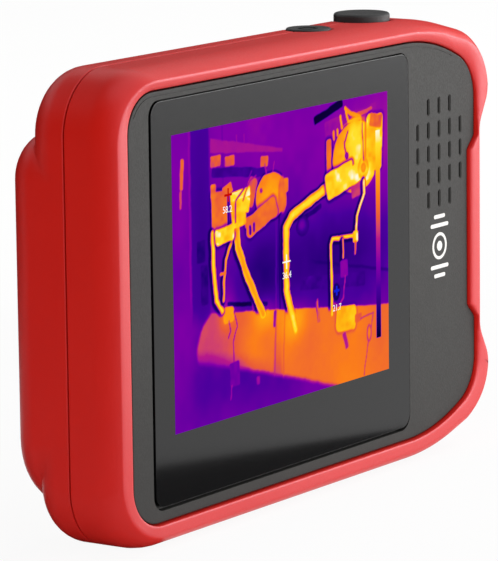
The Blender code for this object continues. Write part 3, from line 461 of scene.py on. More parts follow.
@dataclass(frozen=True)
class MetalFinish:
    """A turned or stamped metal with fine marks from its making."""

    name: str
    colours: tuple[str, str]
    roughness: float
    grain_mm: float = 0.2
    mottle_mm: float = 3.0
    bump: float = 0.03
    spread: float = 0.1

    def make(self) -> bpy.types.Material:
        """Return the material."""
        sizes = (self.grain_mm, self.mottle_mm)
        made = grained(self.name, self.colours, self.roughness, self.spread, sizes, self.bump)
        made.node_tree.nodes["surface"].inputs["Metallic"].default_value = 1.0
        return made


@dataclass(frozen=True)
class CoverGlass:
    """Toughened cover glass, printed black on its back, so that it mostly shows reflections."""

    name: str
    colours: tuple[str, str] = ("#0b0b0c", "#101011")
    roughness: float = 0.12
    gloss: float = 0.37
    spread: float = 0.02
    sizes: tuple[float, float] = (0.6, 14.0)

    def make(self) -> bpy.types.Material:
        """Return the material."""
        made = grained(self.name, self.colours, self.roughness, self.spread, self.sizes, 0.0)
        made.node_tree.nodes["surface"].inputs["Specular IOR Level"].default_value = self.gloss
        return made


def grained(name: str, colours: tuple[str, str], roughness: float, spread: float,
            sizes: tuple[float, float], bump: float) -> bpy.types.Material:
    """Make a moulded finish: a mottled colour, an uneven gloss and a fine grain.

    Args:
        name: The material's name.
        colours: The two colours that the mottle runs between.
        roughness: The mean roughness.
        spread: How far the roughness strays with the grain.
        sizes: Grain and mottle sizes in millimetres.
        bump: Strength of the grain's relief, or 0 for none.

    Returns:
        The material. Its shader node is named surface.
    """
    material = blank_material(name)
    tree = material.node_tree
    place = add_node(tree, "ShaderNodeTexCoord").outputs["Object"]
    grain, mottle = (
        add_node(tree, "ShaderNodeTexNoise", {
            "Vector": place, "Scale": 1 / (size * MM), "Detail": detail,
        }) for size, detail in zip(sizes, (2.0, 3.0))
    )
    colour = add_node(tree, "ShaderNodeMix", {
        0: mottle.outputs["Fac"], 6: linear(colours[0]), 7: linear(colours[1]),
    }, data_type="RGBA")
    gloss = add_node(tree, "ShaderNodeMapRange", {
        "Value": grain.outputs["Fac"], "From Min": 0.3, "From Max": 0.7,
        "To Min": max(roughness - spread, 0.0), "To Max": roughness + spread,
    })
    surface = add_node(tree, "ShaderNodeBsdfPrincipled", {
        "Base Color": colour.outputs[2], "Roughness": gloss.outputs["Result"],
    }, name="surface")
    if bump:
        relief = add_node(tree, "ShaderNodeBump", {
            "Height": grain.outputs["Fac"], "Strength": bump, "Distance": sizes[0] * MM,
        })
        tree.links.new(relief.outputs["Normal"], surface.inputs["Normal"])
    add_node(tree, "ShaderNodeOutputMaterial", {"Surface": surface.outputs["BSDF"]})
    return material


@dataclass
class Shape:
    """The housing's shared sizes, as in the part's source."""

    width: float = 126.2
    height: float = 84.0
    depth: float = 20.2
    wall: float = 2.2
    parting: float = 11.3
    groove: float = 0.3
    rim_left: float = 5.1
    rim_top: float = 4.3
    rim_right: float = 7.1
    panel_front: float = 1.3
    panel_back: float = 3.5
    panel_gap: float = 0.3
    waist: float = 2.7
    panel_middle: float = 42.27
    crest_middle: float = 42.15
    pod_width: float = 55.0
    pod_reach: tuple[float, float] = (72.9, 5.6)

    @property
    def right(self) -> float:
        """The housing's right side."""
        return self.width / 2

    @property
    def middle(self) -> float:
        """The housing's mid height."""
        return self.height / 2

    def body(self) -> Outline:
        """Return the housing's outline: square on the left, with horns and a waist on the right."""
        half, right = self.middle, self.right
        return Outline.mirrored(half, [
            (-right, half, 11.5, 14),
            (right - 23.0, half, 60.0, 12),
            (right, half - 5.5, 11.5, 14),
            (right, half - 16.4, 6.0, 8),
            (right - self.waist, half - 22.0, 6.0, 8),
            (right - self.waist, half - 24.1, 0.6, 8),
            (right - self.waist, half - 26.5, 0.6, 8),
        ])

    def panel(self) -> Outline:
        """Return the front panel's outline, which follows the housing inside the rim."""
        left, right = self.rim_left - self.right, self.right - self.rim_right
        top = self.middle - self.rim_top
        return Outline.mirrored(self.panel_middle, [
            (left, top, 7.2, 14),
            (right - 15.3, top, 46.0, 12),
            (right, top - 6.6, 9.0, 14),
            (right, top - 14.0, 2.2, 8),
            (right, top - 17.9, 2.0, 8),
            (right, top - 20.0, 1.2, 8),
            (right - 2.6, top - 22.5, 1.2, 8),
        ])

    def crest(self) -> Outline:
        """Return the line along the crest of the rolled rim."""
        return Outline.mirrored(self.crest_middle, [
            (-61.4, 39.85, 11.0, 14),
            (38.0, 39.85, 60.0, 12),
            (59.3, 34.4, 10.0, 14),
            (59.9, 25.8, 6.0, 8),
            (56.7, 20.0, 6.0, 8),
            (56.7, 17.7, 0.6, 8),
            (56.7, 15.3, 0.6, 8),
        ])

    def pod(self) -> Outline:
        """Return the optics pod's outline, flush with the housing's left side."""
        left, right = -self.right, self.pod_width - self.right
        top, bottom = self.pod_reach
        return Outline((
            Corner(left, top, 8.3, 10), Corner(right, top, 8.3, 10),
            Corner(right, bottom, 11.0, 10), Corner(left, bottom, 13.5, 12),
        ))


@dataclass
class Housing:
    """The two red shells, which meet in a tongue and groove along the parting line."""

    shape: Shape
    rubber: bpy.types.Material
    rim_side: float = 6.4
    crest_depth: float = 0.4
    lip_depth: float = 1.5
    left_drop: float = 0.55
    left_crease: float = 0.5
    top_crease: float = 0.62
    right_crease: float = 0.65
    bead: float = 5.0
    top_bead: float = 2.05
    bottom_bead: float = 10.0
    ledge: float = 1.8
    ledge_front: float = 3.8
    ledge_back: float = 5.3
    edge: float = 0.14
    back_fillet: float = 6.0
    pod_fillet: float = 5.6
    pod_start: float = 13.0
    pod_wall: float = 3.0
    pod_side: float = 2.5
    tongue: float = 0.65
    tongue_reach: float = 1.0
    tongue_root: float = 1.5
    rebate: tuple[float, float] = (1.1, 0.5)
    skin: float = 0.6
    post: float = 7.0
    lens_bore: float = 19.6
    eye_bore: float = 5.4
    pocket_floor: float = 23.0
    plate_gap: float = 0.3
    screws: tuple[tuple[float, float], ...] = (
        (-53.3, 75.8), (-53.3, 8.2), (47.6, 73.0), (47.6, 11.0),
    )

    def rim(self, steps: int = 16) -> list[list[Vector]]:
        """Return the rim's rings, from the side wall over the crest and down a bead to the lip."""
        shape = self.shape
        outer, crest = shape.body().points(), shape.crest().points()
        inner = shape.panel().points(-shape.panel_gap)
        left = [smoothstep(-50.0, -60.0, c.x) for c in crest]
        high = [smoothstep(76.0, 80.0, c.y) * smoothstep(46.0, 26.0, c.x) for c in crest]
        top = [self.crest_depth + self.left_drop * share for share in left]
        right = [smoothstep(50.0, 57.0, c.x) for c in crest]
        sweep = [math.pi / 2 - max(self.left_crease * a, self.top_crease * b, self.right_crease * e)
                 for a, b, e in zip(left, high, right)]
        rings = []
        for k in range(steps + 1):
            ring = []
            for o, c, d, whole in zip(outer, crest, top, sweep):
                place = o.lerp(c, (1 - math.cos(whole * k / steps)) / (1 - math.cos(whole)))
                climb = math.sin(whole * k / steps) / math.sin(whole)
                ring.append(at(place.x, d + (self.rim_side - d) * (1 - climb), place.y))
            rings.append(ring)
        power = [self.bead + (self.top_bead - self.bead) * smoothstep(66.0, 79.0, c.y)
                 + (self.bottom_bead - self.bead) * smoothstep(13.0, 4.0, c.y) for c in crest]
        for share in (0.3, 0.55, 0.7, 0.8, 0.87, 0.92, 0.96, 0.985, 0.997, 1.0):
            ring = []
            for c, i, d, n in zip(crest, inner, top, power):
                place = c.lerp(i, share)
                fall = 1 - (1 - share ** n) ** (1 / n)
                ring.append(at(place.x, d + (self.lip_depth - d) * fall, place.y))
            rings.append(ring)
        return rings

    def front(self) -> None:
        """Build the front bezel: side wall, rolled rim, ledge and a rebate for the tongue."""
        shape, body, panel = self.shape, self.shape.body(), self.shape.panel()
        end = shape.parting - shape.groove / 2
        deep, inset = self.rebate
        rings = [body.ring(end, self.edge), body.ring(end - self.edge)] + self.rim() + [
            panel.ring(self.ledge_front, -shape.panel_gap),
            panel.ring(self.ledge_front, self.ledge),
            panel.ring(self.ledge_back, self.ledge),
            body.ring(self.ledge_back, shape.wall),
            body.ring(end - deep, shape.wall),
            body.ring(end - deep, inset),
            body.ring(end, inset),
        ]
        bezel = loft("bezel_front", rings, looped=True)
        self.openings(bezel)
        fit(smooth(bezel), self.rubber, HOUSING, "red_rubber", "front_bezel")

    @staticmethod
    def fillet(outline: Outline, start: float, end: float, radius: float, inset: float = 0.0,
               steps: int = 10) -> list[list[Vector]]:
        """Return rings of a wall that runs to a rounded far edge.

        Args:
            outline: The wall's outline.
            start: The depth that it starts at.
            end: The depth that it ends at.
            radius: The radius of its far edge.
            inset: How far it is drawn in.
            steps: Facets round the edge.

        Returns:
            The rings, from the near end to the far one.
        """
        rings = [outline.ring(start, inset)]
        for k in range(steps + 1):
            angle = math.pi / 2 * k / steps
            depth = end - radius * (1 - math.sin(angle))
            rings.append(outline.ring(depth, inset + radius * (1 - math.cos(angle))))
        return rings

    def pod_block(self, skin: float = 0.0) -> bpy.types.Object:
        """Return the raised pod as a solid that reaches into the shell, drawn in by a skin."""
        end, radius = TOTAL_DEPTH - skin, self.pod_fillet - skin
        return loft("pod_tool", self.fillet(self.shape.pod(), self.pod_start, end, radius, skin))

    def envelope(self) -> bpy.types.Object:
        """Return the back's outside, drawn in a little, to trim what stands inside it."""
        shape, skin = self.shape, self.skin
        end, radius = shape.depth - skin, self.back_fillet - skin
        inner = self.fillet(shape.body(), shape.parting, end, radius, skin)
        return combine(loft("envelope_tool", inner), self.pod_block(skin), "UNION")

    def back(self) -> None:
        """Build the back shell: tray, tongue, raised pod with its pocket, and the screw holes."""
        shape, body, pod = self.shape, self.shape.body(), self.shape.pod()
        start = shape.parting + shape.groove / 2
        inside = shape.depth - shape.wall
        outer = [body.ring(start, self.edge)]
        outer += self.fillet(body, start + self.edge, shape.depth, self.back_fillet)
        shell = combine(loft("shell_back", outer), self.pod_block(), "UNION")
        lip, root = start - self.tongue_reach, start + self.tongue_root
        hollow = self.fillet(body, lip, inside, self.back_fillet - shape.wall, shape.wall)
        combine(shell, loft("hollow_tool", hollow))
        pod_floor = TOTAL_DEPTH - self.pod_wall
        combine(shell, pod.block("pod_hollow_tool", self.pod_start, pod_floor, self.pod_side))
        tongue = [(lip, self.tongue), (lip, shape.wall), (root, shape.wall), (root, self.tongue)]
        combine(shell, loft("tongue_tool", body.rings(tongue), looped=True), "UNION")
        past = TOTAL_DEPTH + 1.0
        pocket = lens_plate().block("pocket_tool", self.pocket_floor, past, -self.plate_gap)
        combine(shell, pocket)
        eyes = [(x, EYES_HEIGHT, self.eye_bore) for x in EYES_X]
        for x, z, bore in [(*LENS_CENTRE, self.lens_bore)] + eyes:
            combine(shell, turn("bore_tool", Axis.DEPTH, at(x, 0, z), [(bore, 20.0), (bore, past)]))
        post = [(self.post, start), (self.post, TOTAL_DEPTH - self.skin)]
        shank, head, flare = 2.6, 5.0, 5.5
        bore = [(shank, start - 1.5), (shank, 17.9), (head, 17.9), (head, 19.95), (flare, 20.2),
                (flare, past)]
        for x, z in self.screws:
            pillar = turn("post_tool", Axis.DEPTH, at(x, 0, z), post, steps=32)
            combine(shell, combine(pillar, self.envelope(), "INTERSECT"), "UNION")
            combine(shell, turn("screw_tool", Axis.DEPTH, at(x, 0, z), bore, steps=32))
        self.openings(shell)
        fit(smooth(shell), self.rubber, HOUSING, "red_rubber", "rear_shell")

    def openings(self, shell: bpy.types.Object) -> None:
        """Cut the button holes and the charging port, which straddle the parting line."""
        shape = self.shape
        seat, top = at(0, shape.parting, 0), shape.height
        for x, bore in ((POWER_X, 8.8), (SHUTTER_X, 11.1)):
            hole = [(bore, 78.0), (bore, top - 0.35), (bore + 0.7, top), (bore + 0.7, top + 1.0)]
            combine(shell, turn("hole_tool", Axis.UPRIGHT, Vector((x, seat.y, 0)), hole))
        face = shape.right - shape.waist
        combine(shell, port_block("recess_tool", (16.6, 8.6, 2.3), face - 1.5, face + 4.0))
        combine(shell, port_block("mouth_tool", (9.9, 4.2, 1.6), face - 4.0, face + 4.0))


def port_rings(size: tuple[float, float, float], steps: Pairs,
               lift: float = 0.0) -> list[list[Vector]]:
    """Return rings about the charging port that face right.

    Args:
        size: Their height, depth and corner radius.
        steps: The x and the inset of each ring.
        lift: How far their middle is above the port's.

    Returns:
        The rings, in the order of the steps.
    """
    outline = Outline.rectangle(PORT_HEIGHT + lift, PORT_DEPTH, *size)
    return [[at(x, p.y, p.x) for p in outline.points(inset)] for x, inset in steps]


def port_block(name: str, size: tuple[float, float, float], near: float, far: float,
               lift: float = 0.0) -> bpy.types.Object:
    """Return a rounded block along X about the charging port."""
    return loft(name, port_rings(size, [(near, 0.0), (far, 0.0)], lift))


def lens_plate() -> Outline:
    """Return the outline of the dark plate on the pod."""
    return Outline.rectangle(LENS_CENTRE[0], 42.0, 43.0, 48.4, 5.0)


@dataclass
class Fascia:
    """The dark panel beside the display, with its speaker slots and its printed mark."""

    shape: Shape
    plastic: bpy.types.Material
    ink: bpy.types.Material
    edge: float = 0.24
    edge_drop: float = 0.07
    groove: tuple[float, float] = (0.64, 0.78)
    groove_depth: float = 0.09
    glass: Outline = Outline.rectangle(-9.55, 42.62, 83.5, 71.05, 2.6)
    pocket: Outline = Outline.rectangle(-9.895, 42.485, 84.31, 71.97, 2.9)
    pocket_floor: float = 2.7
    window: Outline = Outline.rectangle(-9.8, 45.4, 76.0, 59.0, 1.3)
    window_gap: float = 0.3
    slot_rows: tuple[int, ...] = (3, 5, 5, 5, 3)
    slot_pitch: tuple[float, float] = (3.85, 4.45)
    slot_size: tuple[float, float] = (1.05, 3.4)
    slot_flare: tuple[float, float] = (0.22, 0.27)
    grille: tuple[float, float] = (43.2, 58.2)
    mark: tuple[float, float] = (43.2, 40.1)

    def build(self) -> None:
        """Build the panel and print the mark on it."""
        shape, outline = self.shape, self.shape.panel()
        front, back = shape.panel_front, shape.panel_back
        steps = [(front, self.edge), (front + self.edge_drop / 3, self.edge / 3),
                 (front + self.edge_drop, 0.0), (back, 0.0)]
        panel = loft("fascia", outline.rings(steps))
        near, far = self.groove
        over, floor = front - 1, front + self.groove_depth
        section = [(over, near), (over, far), (floor, far), (floor, near)]
        groove = loft("groove_tool", outline.rings(section), looped=True)
        # Only the run along the top is cut.
        upper = Outline.rectangle(0.0, 84.0, 140.0, 16.0, 1.0).block("upper_tool", front - 2, back)
        combine(panel, combine(groove, upper, "INTERSECT"))
        combine(panel, self.pocket.block("pocket_tool", over, self.pocket_floor))
        combine(panel, self.window.block("window_tool", over, back + 1, -self.window_gap))
        combine(panel, self.slots())
        fit(smooth(panel), self.plastic, HOUSING, "fascia_plastic", "front_panel")
        self.print_mark()

    def slots(self) -> bpy.types.Object:
        """Return one tool that holds every speaker slot, flared where it meets the surface."""
        front, back = self.shape.panel_front, self.shape.panel_back
        wide, long = self.slot_size
        flare, hole = self.slot_flare
        pieces = []
        for row, count in enumerate(self.slot_rows):
            z = self.grille[1] + self.slot_pitch[1] * ((len(self.slot_rows) - 1) / 2 - row)
            for column in range(count):
                x = self.grille[0] + self.slot_pitch[0] * (column - (count - 1) / 2)
                outline = Outline.rectangle(x, z, wide, long, wide / 2 - 0.01, 5)
                steps = [(front - 1, 0.0), (front, 0.0), (front + flare, hole), (back + 1, hole)]
                pieces.append(loft("slot_tool", outline.rings(steps)))
        return join(pieces)

    def print_mark(self) -> None:
        """Print a plain ring and dot between short bars, where a radio tag is held to the panel."""
        x, z = self.mark
        top = self.shape.panel_front
        low, high = top - 0.03, top + 0.02
        ring = [(5.2, low), (5.2, high), (4.0, high), (4.0, low)]
        pieces = [
            turn("mark_ring", Axis.DEPTH, at(x, 0, z), ring, bored=True),
            turn("mark_dot", Axis.DEPTH, at(x, 0, z), [(1.9, low), (1.9, high)], steps=32),
        ]
        for side in (1, -1):
            for step, length in ((4.0, 6.4), (5.7, 4.0)):
                outline = Outline.rectangle(x, z + side * step, length, 0.75, 0.36, 5)
                pieces.append(outline.block("mark_bar", low, high))
        join(pieces)
        fit(name_piece("panel_mark"), self.ink, HOUSING, "fascia_plastic")


def cloud(u: np.ndarray, v: np.ndarray, size: float, seed: int) -> np.ndarray:
    """Return smooth noise from -1 to 1.

    Args:
        u: Places across, in millimetres.
        v: Places upwards, in millimetres.
        size: The size of its lumps in millimetres.
        seed: Which noise it is.

    Returns:
        The noise at each place.
    """
    side = 97
    table = np.random.default_rng(seed).uniform(-1.0, 1.0, (side, side))
    a, b = u / size + 11.0, v / size + 11.0
    i, j = np.floor(a).astype(int), np.floor(b).astype(int)
    s, t = smoothstep(0.0, 1.0, a - i), smoothstep(0.0, 1.0, b - j)
    i, j, k, n = i % side, j % side, (i + 1) % side, (j + 1) % side
    low = table[i, j] * (1 - s) + table[k, j] * s
    high = table[i, n] * (1 - s) + table[k, n] * s
    return low * (1 - t) + high * t


@dataclass
class HeatField:
    """A made-up thermal scene of pipes, pumps and a vessel, as heat from 0 to 1 at each place.

    Places are millimetres from the picture's lower left corner.
    """

    u: np.ndarray
    v: np.ndarray
    heat: np.ndarray = field(init=False)
    speck: np.ndarray = field(init=False)
    clear: np.ndarray = field(init=False)
    ruled: tuple[np.ndarray, np.ndarray] = field(init=False)

    def __post_init__(self) -> None:
        """Wobble the places a little, so that nothing is ruled, and start from a cool room."""
        u, v = self.u, self.v
        self.ruled = u, v
        self.clear = np.ones_like(u)
        self.u = u + 0.13 * cloud(u, v, 1.9, 1) + 0.05 * cloud(u, v, 0.7, 2)
        self.v = v + 0.13 * cloud(u, v, 1.9, 3) + 0.05 * cloud(u, v, 0.7, 4)
        self.speck = 0.6 * cloud(u, v, 2.4, 5) + 0.4 * cloud(u, v, 0.9, 6)
        self.heat = 0.315 + 0.022 * cloud(u, v, 9.0, 7) + 0.010 * cloud(u, v, 2.2, 8)
        self.heat += 0.035 * smoothstep(36.0, 52.0, v)
        self.heat += 0.04 * smoothstep(60.0, 70.0, u) * smoothstep(30.0, 46.0, v)
        self.glow(50.0, 24.0, 20.0, 9.5, -0.165)
        self.glow(27.0, 24.0, 9.0, 8.0, -0.12)
        self.glow(9.0, 34.0, 2.6, 20.0, -0.10)
        self.glow(22.0, 6.0, 18.0, 6.0, -0.07)

    def glow(self, x: float, y: float, wide: float, high: float, value: float) -> None:
        """Warm or cool the scene softly about a place."""
        across, up = (self.u - x) / wide, (self.v - y) / high
        self.heat = self.heat + value * np.exp(-(across ** 2) - up ** 2)

    def lay(self, mask: np.ndarray, value: Any) -> None:
        """Cover the scene with a value where a mask says."""
        self.heat = self.heat * (1 - mask) + value * mask

    def reach(self, points: Pairs) -> np.ndarray:
        """Return the distance to a line of straight runs."""
        far = np.full_like(self.u, 1e3)
        for (x0, y0), (x1, y1) in zip(points, points[1:]):
            dx, dy = x1 - x0, y1 - y0
            run = dx ** 2 + dy ** 2
            share = np.clip(((self.u - x0) * dx + (self.v - y0) * dy) / run, 0, 1)
            far = np.minimum(far, np.hypot(self.u - x0 - share * dx, self.v - y0 - share * dy))
        return far

    def pipe(self, points: Pairs, width: float, core: float, rim: float) -> None:
        """Draw a hot pipe with a cool line beside it.

        Args:
            points: The pipe's bends.
            width: Its width.
            core: The heat along its middle.
            rim: The heat along its edges.
        """
        far, half = self.reach(points), width / 2
        shade = self.reach([(x - 0.35, y - 0.1) for x, y in points])
        self.lay(0.8 * self.clear * smoothstep(half + 0.75, half + 0.15, shade), 0.03)
        fill = rim + (core - rim) * smoothstep(0.9 * half, 0.25 * half, far) + 0.035 * self.speck
        self.lay(smoothstep(half + 0.14, half - 0.14, far), fill)

    def cable(self, points: Pairs, width: float, value: float) -> None:
        """Draw a thin line, cooler or warmer than what it crosses."""
        self.lay(0.85 * smoothstep(width / 2 + 0.12, width / 2 - 0.10, self.reach(points)), value)

    def block(self, x: float, y: float, wide: float, high: float, value: float, tilt: float = 0.0,
              corner: float = 0.4, uneven: float = 0.05, halo: float = 0.0) -> None:
        """Draw a box about a centre.

        Args:
            x: Its centre's distance from the left.
            y: Its centre's height.
            wide: Its width.
            high: Its height.
            value: Its heat.
            tilt: Its turn in radians.
            corner: The radius of its corners.
            uneven: How far its heat strays over the surface.
            halo: How strong the cool line round it is.
        """
        c, s = math.cos(tilt), math.sin(tilt)
        a = np.abs((self.u - x) * c + (self.v - y) * s) - wide / 2 + corner
        b = np.abs((self.v - y) * c - (self.u - x) * s) - high / 2 + corner
        outside = np.hypot(np.maximum(a, 0), np.maximum(b, 0))
        gap = outside + np.minimum(np.maximum(a, b), 0) - corner
        if halo:
            self.lay(halo * smoothstep(0.9, 0.1, gap), 0.05)
        self.lay(smoothstep(0.16, -0.16, gap), value + uneven * self.speck)

    def disc(self, x: float, y: float, wide: float, high: float, value: float, uneven: float = 0.04,
             halo: float = 0.0) -> None:
        """Draw an ellipse about a centre, warmer at its middle, with a box's arguments."""
        out = np.hypot((self.u - x) / (wide / 2), (self.v - y) / (high / 2))
        edge = 0.32 / min(wide, high)
        if halo:
            self.lay(halo * smoothstep(1 + 4 * edge, 1 + edge, out), 0.05)
        warm = value + 0.05 * smoothstep(1.0, 0.3, out) + uneven * self.speck
        self.lay(smoothstep(1 + edge, 1 - edge, out), warm)

    def draw(self) -> np.ndarray:
        """Draw the scene and return its heat."""
        self.backdrop()
        self.vessel()
        self.left_pump()
        self.right_boiler()
        self.scale_bar()
        return np.clip(self.heat, 0.0, 1.0)

    def backdrop(self) -> None:
        """Draw cool steelwork and shelves behind the machines."""
        u, v = self.u, self.v
        column = smoothstep(5.4, 6.0, u) * smoothstep(11.6, 11.0, u) * smoothstep(17.0, 22.0, v)
        self.lay(0.7 * column, 0.20)
        self.lay(0.7 * smoothstep(0.5, 0.1, np.abs(u - 5.3)) * smoothstep(20.0, 24.0, v), 0.40)
        self.lay(0.5 * smoothstep(0.35, 0.1, np.abs(u - 15.6)) * smoothstep(41.0, 43.0, v), 0.27)
        self.block(3.0, 45.4, 1.0, 5.6, 0.62, tilt=-0.06)
        self.block(2.6, 41.0, 0.7, 3.4, 0.52, tilt=-0.06)
        shelf = np.abs(v - 47.7 + 0.155 * (u - 22.6)) - 1.3 + 0.045 * (u - 12)
        shelf = smoothstep(0.2, -0.2, np.maximum(np.abs(u - 23.2) - 11.4, shelf))
        self.lay(0.85 * shelf, 0.45 + 0.02 * self.speck)
        for x, wide in ((13.4, 3.2), (17.8, 3.0), (28.8, 2.4)):
            self.block(x, 46.5 - 0.13 * (x - 13.4), wide, 2.0, 0.61, uneven=0.09)
        self.block(20.6, 43.6, 17.0, 1.7, 0.21, tilt=-0.12)
        self.cable([(20.0, 50.2), (20.1, 49.0)], 0.3, 0.42)
        self.cable([(22.4, 50.0), (22.5, 48.8)], 0.3, 0.42)
        self.block(44.0, 33.2, 7.0, 1.0, 0.14, tilt=0.24)
        self.disc(41.0, 31.2, 4.4, 4.0, 0.16)
        self.disc(40.8, 31.4, 2.6, 2.4, 0.24)
        self.cable([(32.4, 36.0), (32.0, 16.0)], 0.5, 0.27)
        self.cable([(33.4, 36.0), (33.2, 16.0)], 0.4, 0.10)
        self.block(49.9, 51.0, 9.8, 1.5, 0.01, tilt=0.25, uneven=0.0)
        self.block(23.0, 19.6, 13.0, 0.8, 0.03, tilt=-0.16, uneven=0.02)
        self.block(51.0, 19.6, 22.0, 2.6, 0.20, tilt=-0.10)
        strut = smoothstep(0.5, 0.1, np.abs(v - 24.0 + 0.2 * (u - 45))) * smoothstep(42.0, 47.0, u)
        self.lay(0.6 * strut, 0.12)
        self.block(8.6, 31.0, 2.6, 4.0, 0.14)
        self.block(9.6, 25.0, 2.2, 7.0, 0.15)

    def vessel(self) -> None:
        """Draw the warm vessel along the bottom, with its dished end, seams and fittings."""
        u, v = self.u, self.v
        top = 20.2 - 0.125 * (u - 8.0)
        low = 11.5 - 0.235 * (u - 7.0) - 0.0006 * (u - 7.0) ** 2
        end = smoothstep(1.04, 0.96, np.hypot((u - 20.0) / 13.0, (v - 13.2) / 8.6))
        body = smoothstep(low - 0.7, low + 0.8, v) * smoothstep(top + 0.25, top - 0.25, v)
        body = body * np.maximum(smoothstep(19.0, 21.0, u), end)
        rise = np.clip((v - low) / (top - low), 0, 1)
        warm = 0.52 + 0.13 * smoothstep(9.0, 26.0, u)
        warm = warm - 0.09 * smoothstep(0.34, 0.0, rise) * smoothstep(46.0, 20.0, u)
        warm = warm + 0.02 * np.sin(u * 0.23 + 1.0) + 0.022 * cloud(u, v, 6.0, 9)
        warm = warm + 0.012 * self.speck
        self.lay(body, warm)
        self.clear = 1 - smoothstep(0.0, 1.0, body * smoothstep(top + 0.5, top - 1.5, v))
        for x, wide, value in ((31.8, 0.5, 0.50), (34.6, 0.35, 0.57)):
            line = np.abs(u - x - 0.06 * (v - 12.0))
            self.lay(0.8 * body * smoothstep(wide, 0.1, line), value)
        band = smoothstep(30.6, 31.6, u) * smoothstep(34.4, 33.0, u) * smoothstep(14.0, 4.0, v)
        self.lay(0.5 * body * band, 0.47)
        inlets = ((16.4, 19.2, 2.2, 3.0), (28.6, 17.0, 3.6, 2.6), (38.2, 14.2, 4.2, 3.4))
        for x, y, wide, high in inlets:
            self.glow(x, y, wide, high, 0.15)
        self.block(16.9, 18.6, 3.4, 3.0, 0.78, corner=0.8)
        self.cable([(18.6, 19.0), (19.6, 16.0), (18.2, 13.4), (18.4, 9.6)], 0.35, 0.42)
        self.cable([(17.0, 17.4), (17.6, 15.6), (16.8, 14.4)], 0.3, 0.40)
        self.block(18.6, 7.6, 3.0, 4.4, 0.33, tilt=0.05)
        self.cable([(17.6, 5.6), (17.2, 3.4)], 0.35, 0.45)
        self.block(26.0, 5.2, 1.1, 1.6, 0.38)
        self.block(24.6, 19.4, 0.8, 3.0, 0.42, tilt=0.2)
        self.block(31.6, 15.6, 0.9, 3.0, 0.40, tilt=-0.1)
        self.block(45.8, 14.6, 0.8, 4.4, 0.45, tilt=0.2)
        self.cable([(45.6, 17.0), (46.2, 12.4)], 0.3, 0.68)

    def left_pump(self) -> None:
        """Draw the pump set on the left with its delivery pipes."""
        self.block(14.4, 36.4, 5.0, 9.4, 0.63, corner=0.6, uneven=0.10, halo=0.6)
        self.block(12.6, 41.2, 1.6, 2.6, 0.66, uneven=0.12)
        self.block(17.0, 41.0, 3.0, 2.0, 0.62, tilt=0.3, uneven=0.10)
        self.disc(30.8, 38.0, 9.8, 8.6, 0.71, uneven=0.05, halo=0.5)
        self.disc(34.5, 37.8, 2.8, 6.8, 0.60, uneven=0.08)
        self.block(27.6, 34.6, 10.4, 3.8, 0.63, tilt=0.32, corner=0.8, uneven=0.08, halo=0.4)
        self.block(24.4, 39.6, 3.0, 5.4, 0.55, tilt=-0.35, corner=1.0, uneven=0.10)
        self.disc(27.6, 39.4, 0.9, 1.0, 0.40)
        self.block(35.8, 39.4, 1.4, 2.8, 0.68, uneven=0.1)
        self.pipe([(12.2, 33.8), (12.5, 27.0), (13.2, 21.6), (15.0, 19.6)], 1.35, 0.92, 0.62)
        self.pipe([(19.6, 35.2), (20.0, 30.2), (23.4, 24.0), (27.8, 17.0)], 1.75, 0.77, 0.90)
        self.pipe([(18.8, 32.6), (16.4, 28.6), (15.6, 25.2), (15.4, 21.4)], 0.8, 0.80, 0.60)
        self.block(15.2, 26.2, 2.0, 0.7, 0.68)
        self.block(16.0, 33.0, 6.0, 3.0, 0.89, tilt=0.1, corner=0.8, uneven=0.14, halo=0.4)
        self.block(20.4, 36.6, 4.6, 5.6, 0.89, tilt=0.08, corner=0.5, uneven=0.16)
        self.block(22.6, 37.6, 2.6, 3.0, 0.90, tilt=-0.2, uneven=0.14)
        self.block(21.0, 39.6, 6.4, 1.7, 0.96, tilt=0.10, uneven=0.10)
        self.cable([(19.4, 34.8), (19.6, 38.6), (22.4, 40.6), (24.6, 43.2)], 0.4, 0.34)
        self.cable([(21.8, 38.4), (24.0, 41.6), (26.0, 42.4)], 0.3, 0.44)
        self.cable([(29.4, 42.2), (29.0, 44.0)], 0.35, 0.48)
        self.cable([(31.6, 42.4), (32.0, 44.0)], 0.3, 0.46)
        for x in (22.6, 24.0, 25.2):
            self.block(x, 32.2 + 0.3 * (x - 22), 0.6, 1.8, 0.22)

    def right_boiler(self) -> None:
        """Draw the hot boiler at the upper right, its flue and the pipes that leave it."""
        u, v = self.u, self.v
        self.glow(59.0, 42.0, 10.0, 8.0, 0.10)
        self.block(57.6, 47.6, 17.6, 5.0, 0.41, tilt=0.10, uneven=0.03)
        self.cable([(51.6, 43.6), (55.0, 47.6), (60.0, 49.4), (64.4, 50.0)], 0.8, 0.58)
        self.block(50.0, 41.2, 1.7, 9.6, 0.66, corner=0.6, uneven=0.08, halo=0.5)
        self.disc(59.0, 41.6, 15.4, 13.4, 0.77, uneven=0.06, halo=0.3)
        drum = smoothstep(0.3, -0.3, np.hypot((u - 59.6) / 6.6, (v - 42.0) / 6.2) - 1.0)
        self.lay(drum * smoothstep(53.0, 59.0, u), 0.94 + 0.05 * self.speck)
        self.block(65.4, 43.6, 5.6, 10.6, 0.88, tilt=-0.06, corner=1.0, uneven=0.12, halo=0.3)
        self.block(66.0, 47.6, 4.2, 2.4, 0.64, tilt=-0.2, uneven=0.1)
        self.cable([(56.4, 46.6), (55.2, 44.6), (55.8, 42.6)], 0.5, 0.40)
        self.disc(55.9, 42.2, 1.3, 1.3, 0.34)
        for x, y, high in ((51.6, 46.4, 2.2), (52.9, 46.8, 1.8), (54.2, 48.6, 2.8)):
            self.block(x, y, 0.6, high, 0.86, tilt=0.15, uneven=0.2)
        bends = [(51.6, 37.8), (44.0, 35.6), (37.2, 33.4), (35.6, 31.6), (35.5, 20.0), (38.4, 12.6)]
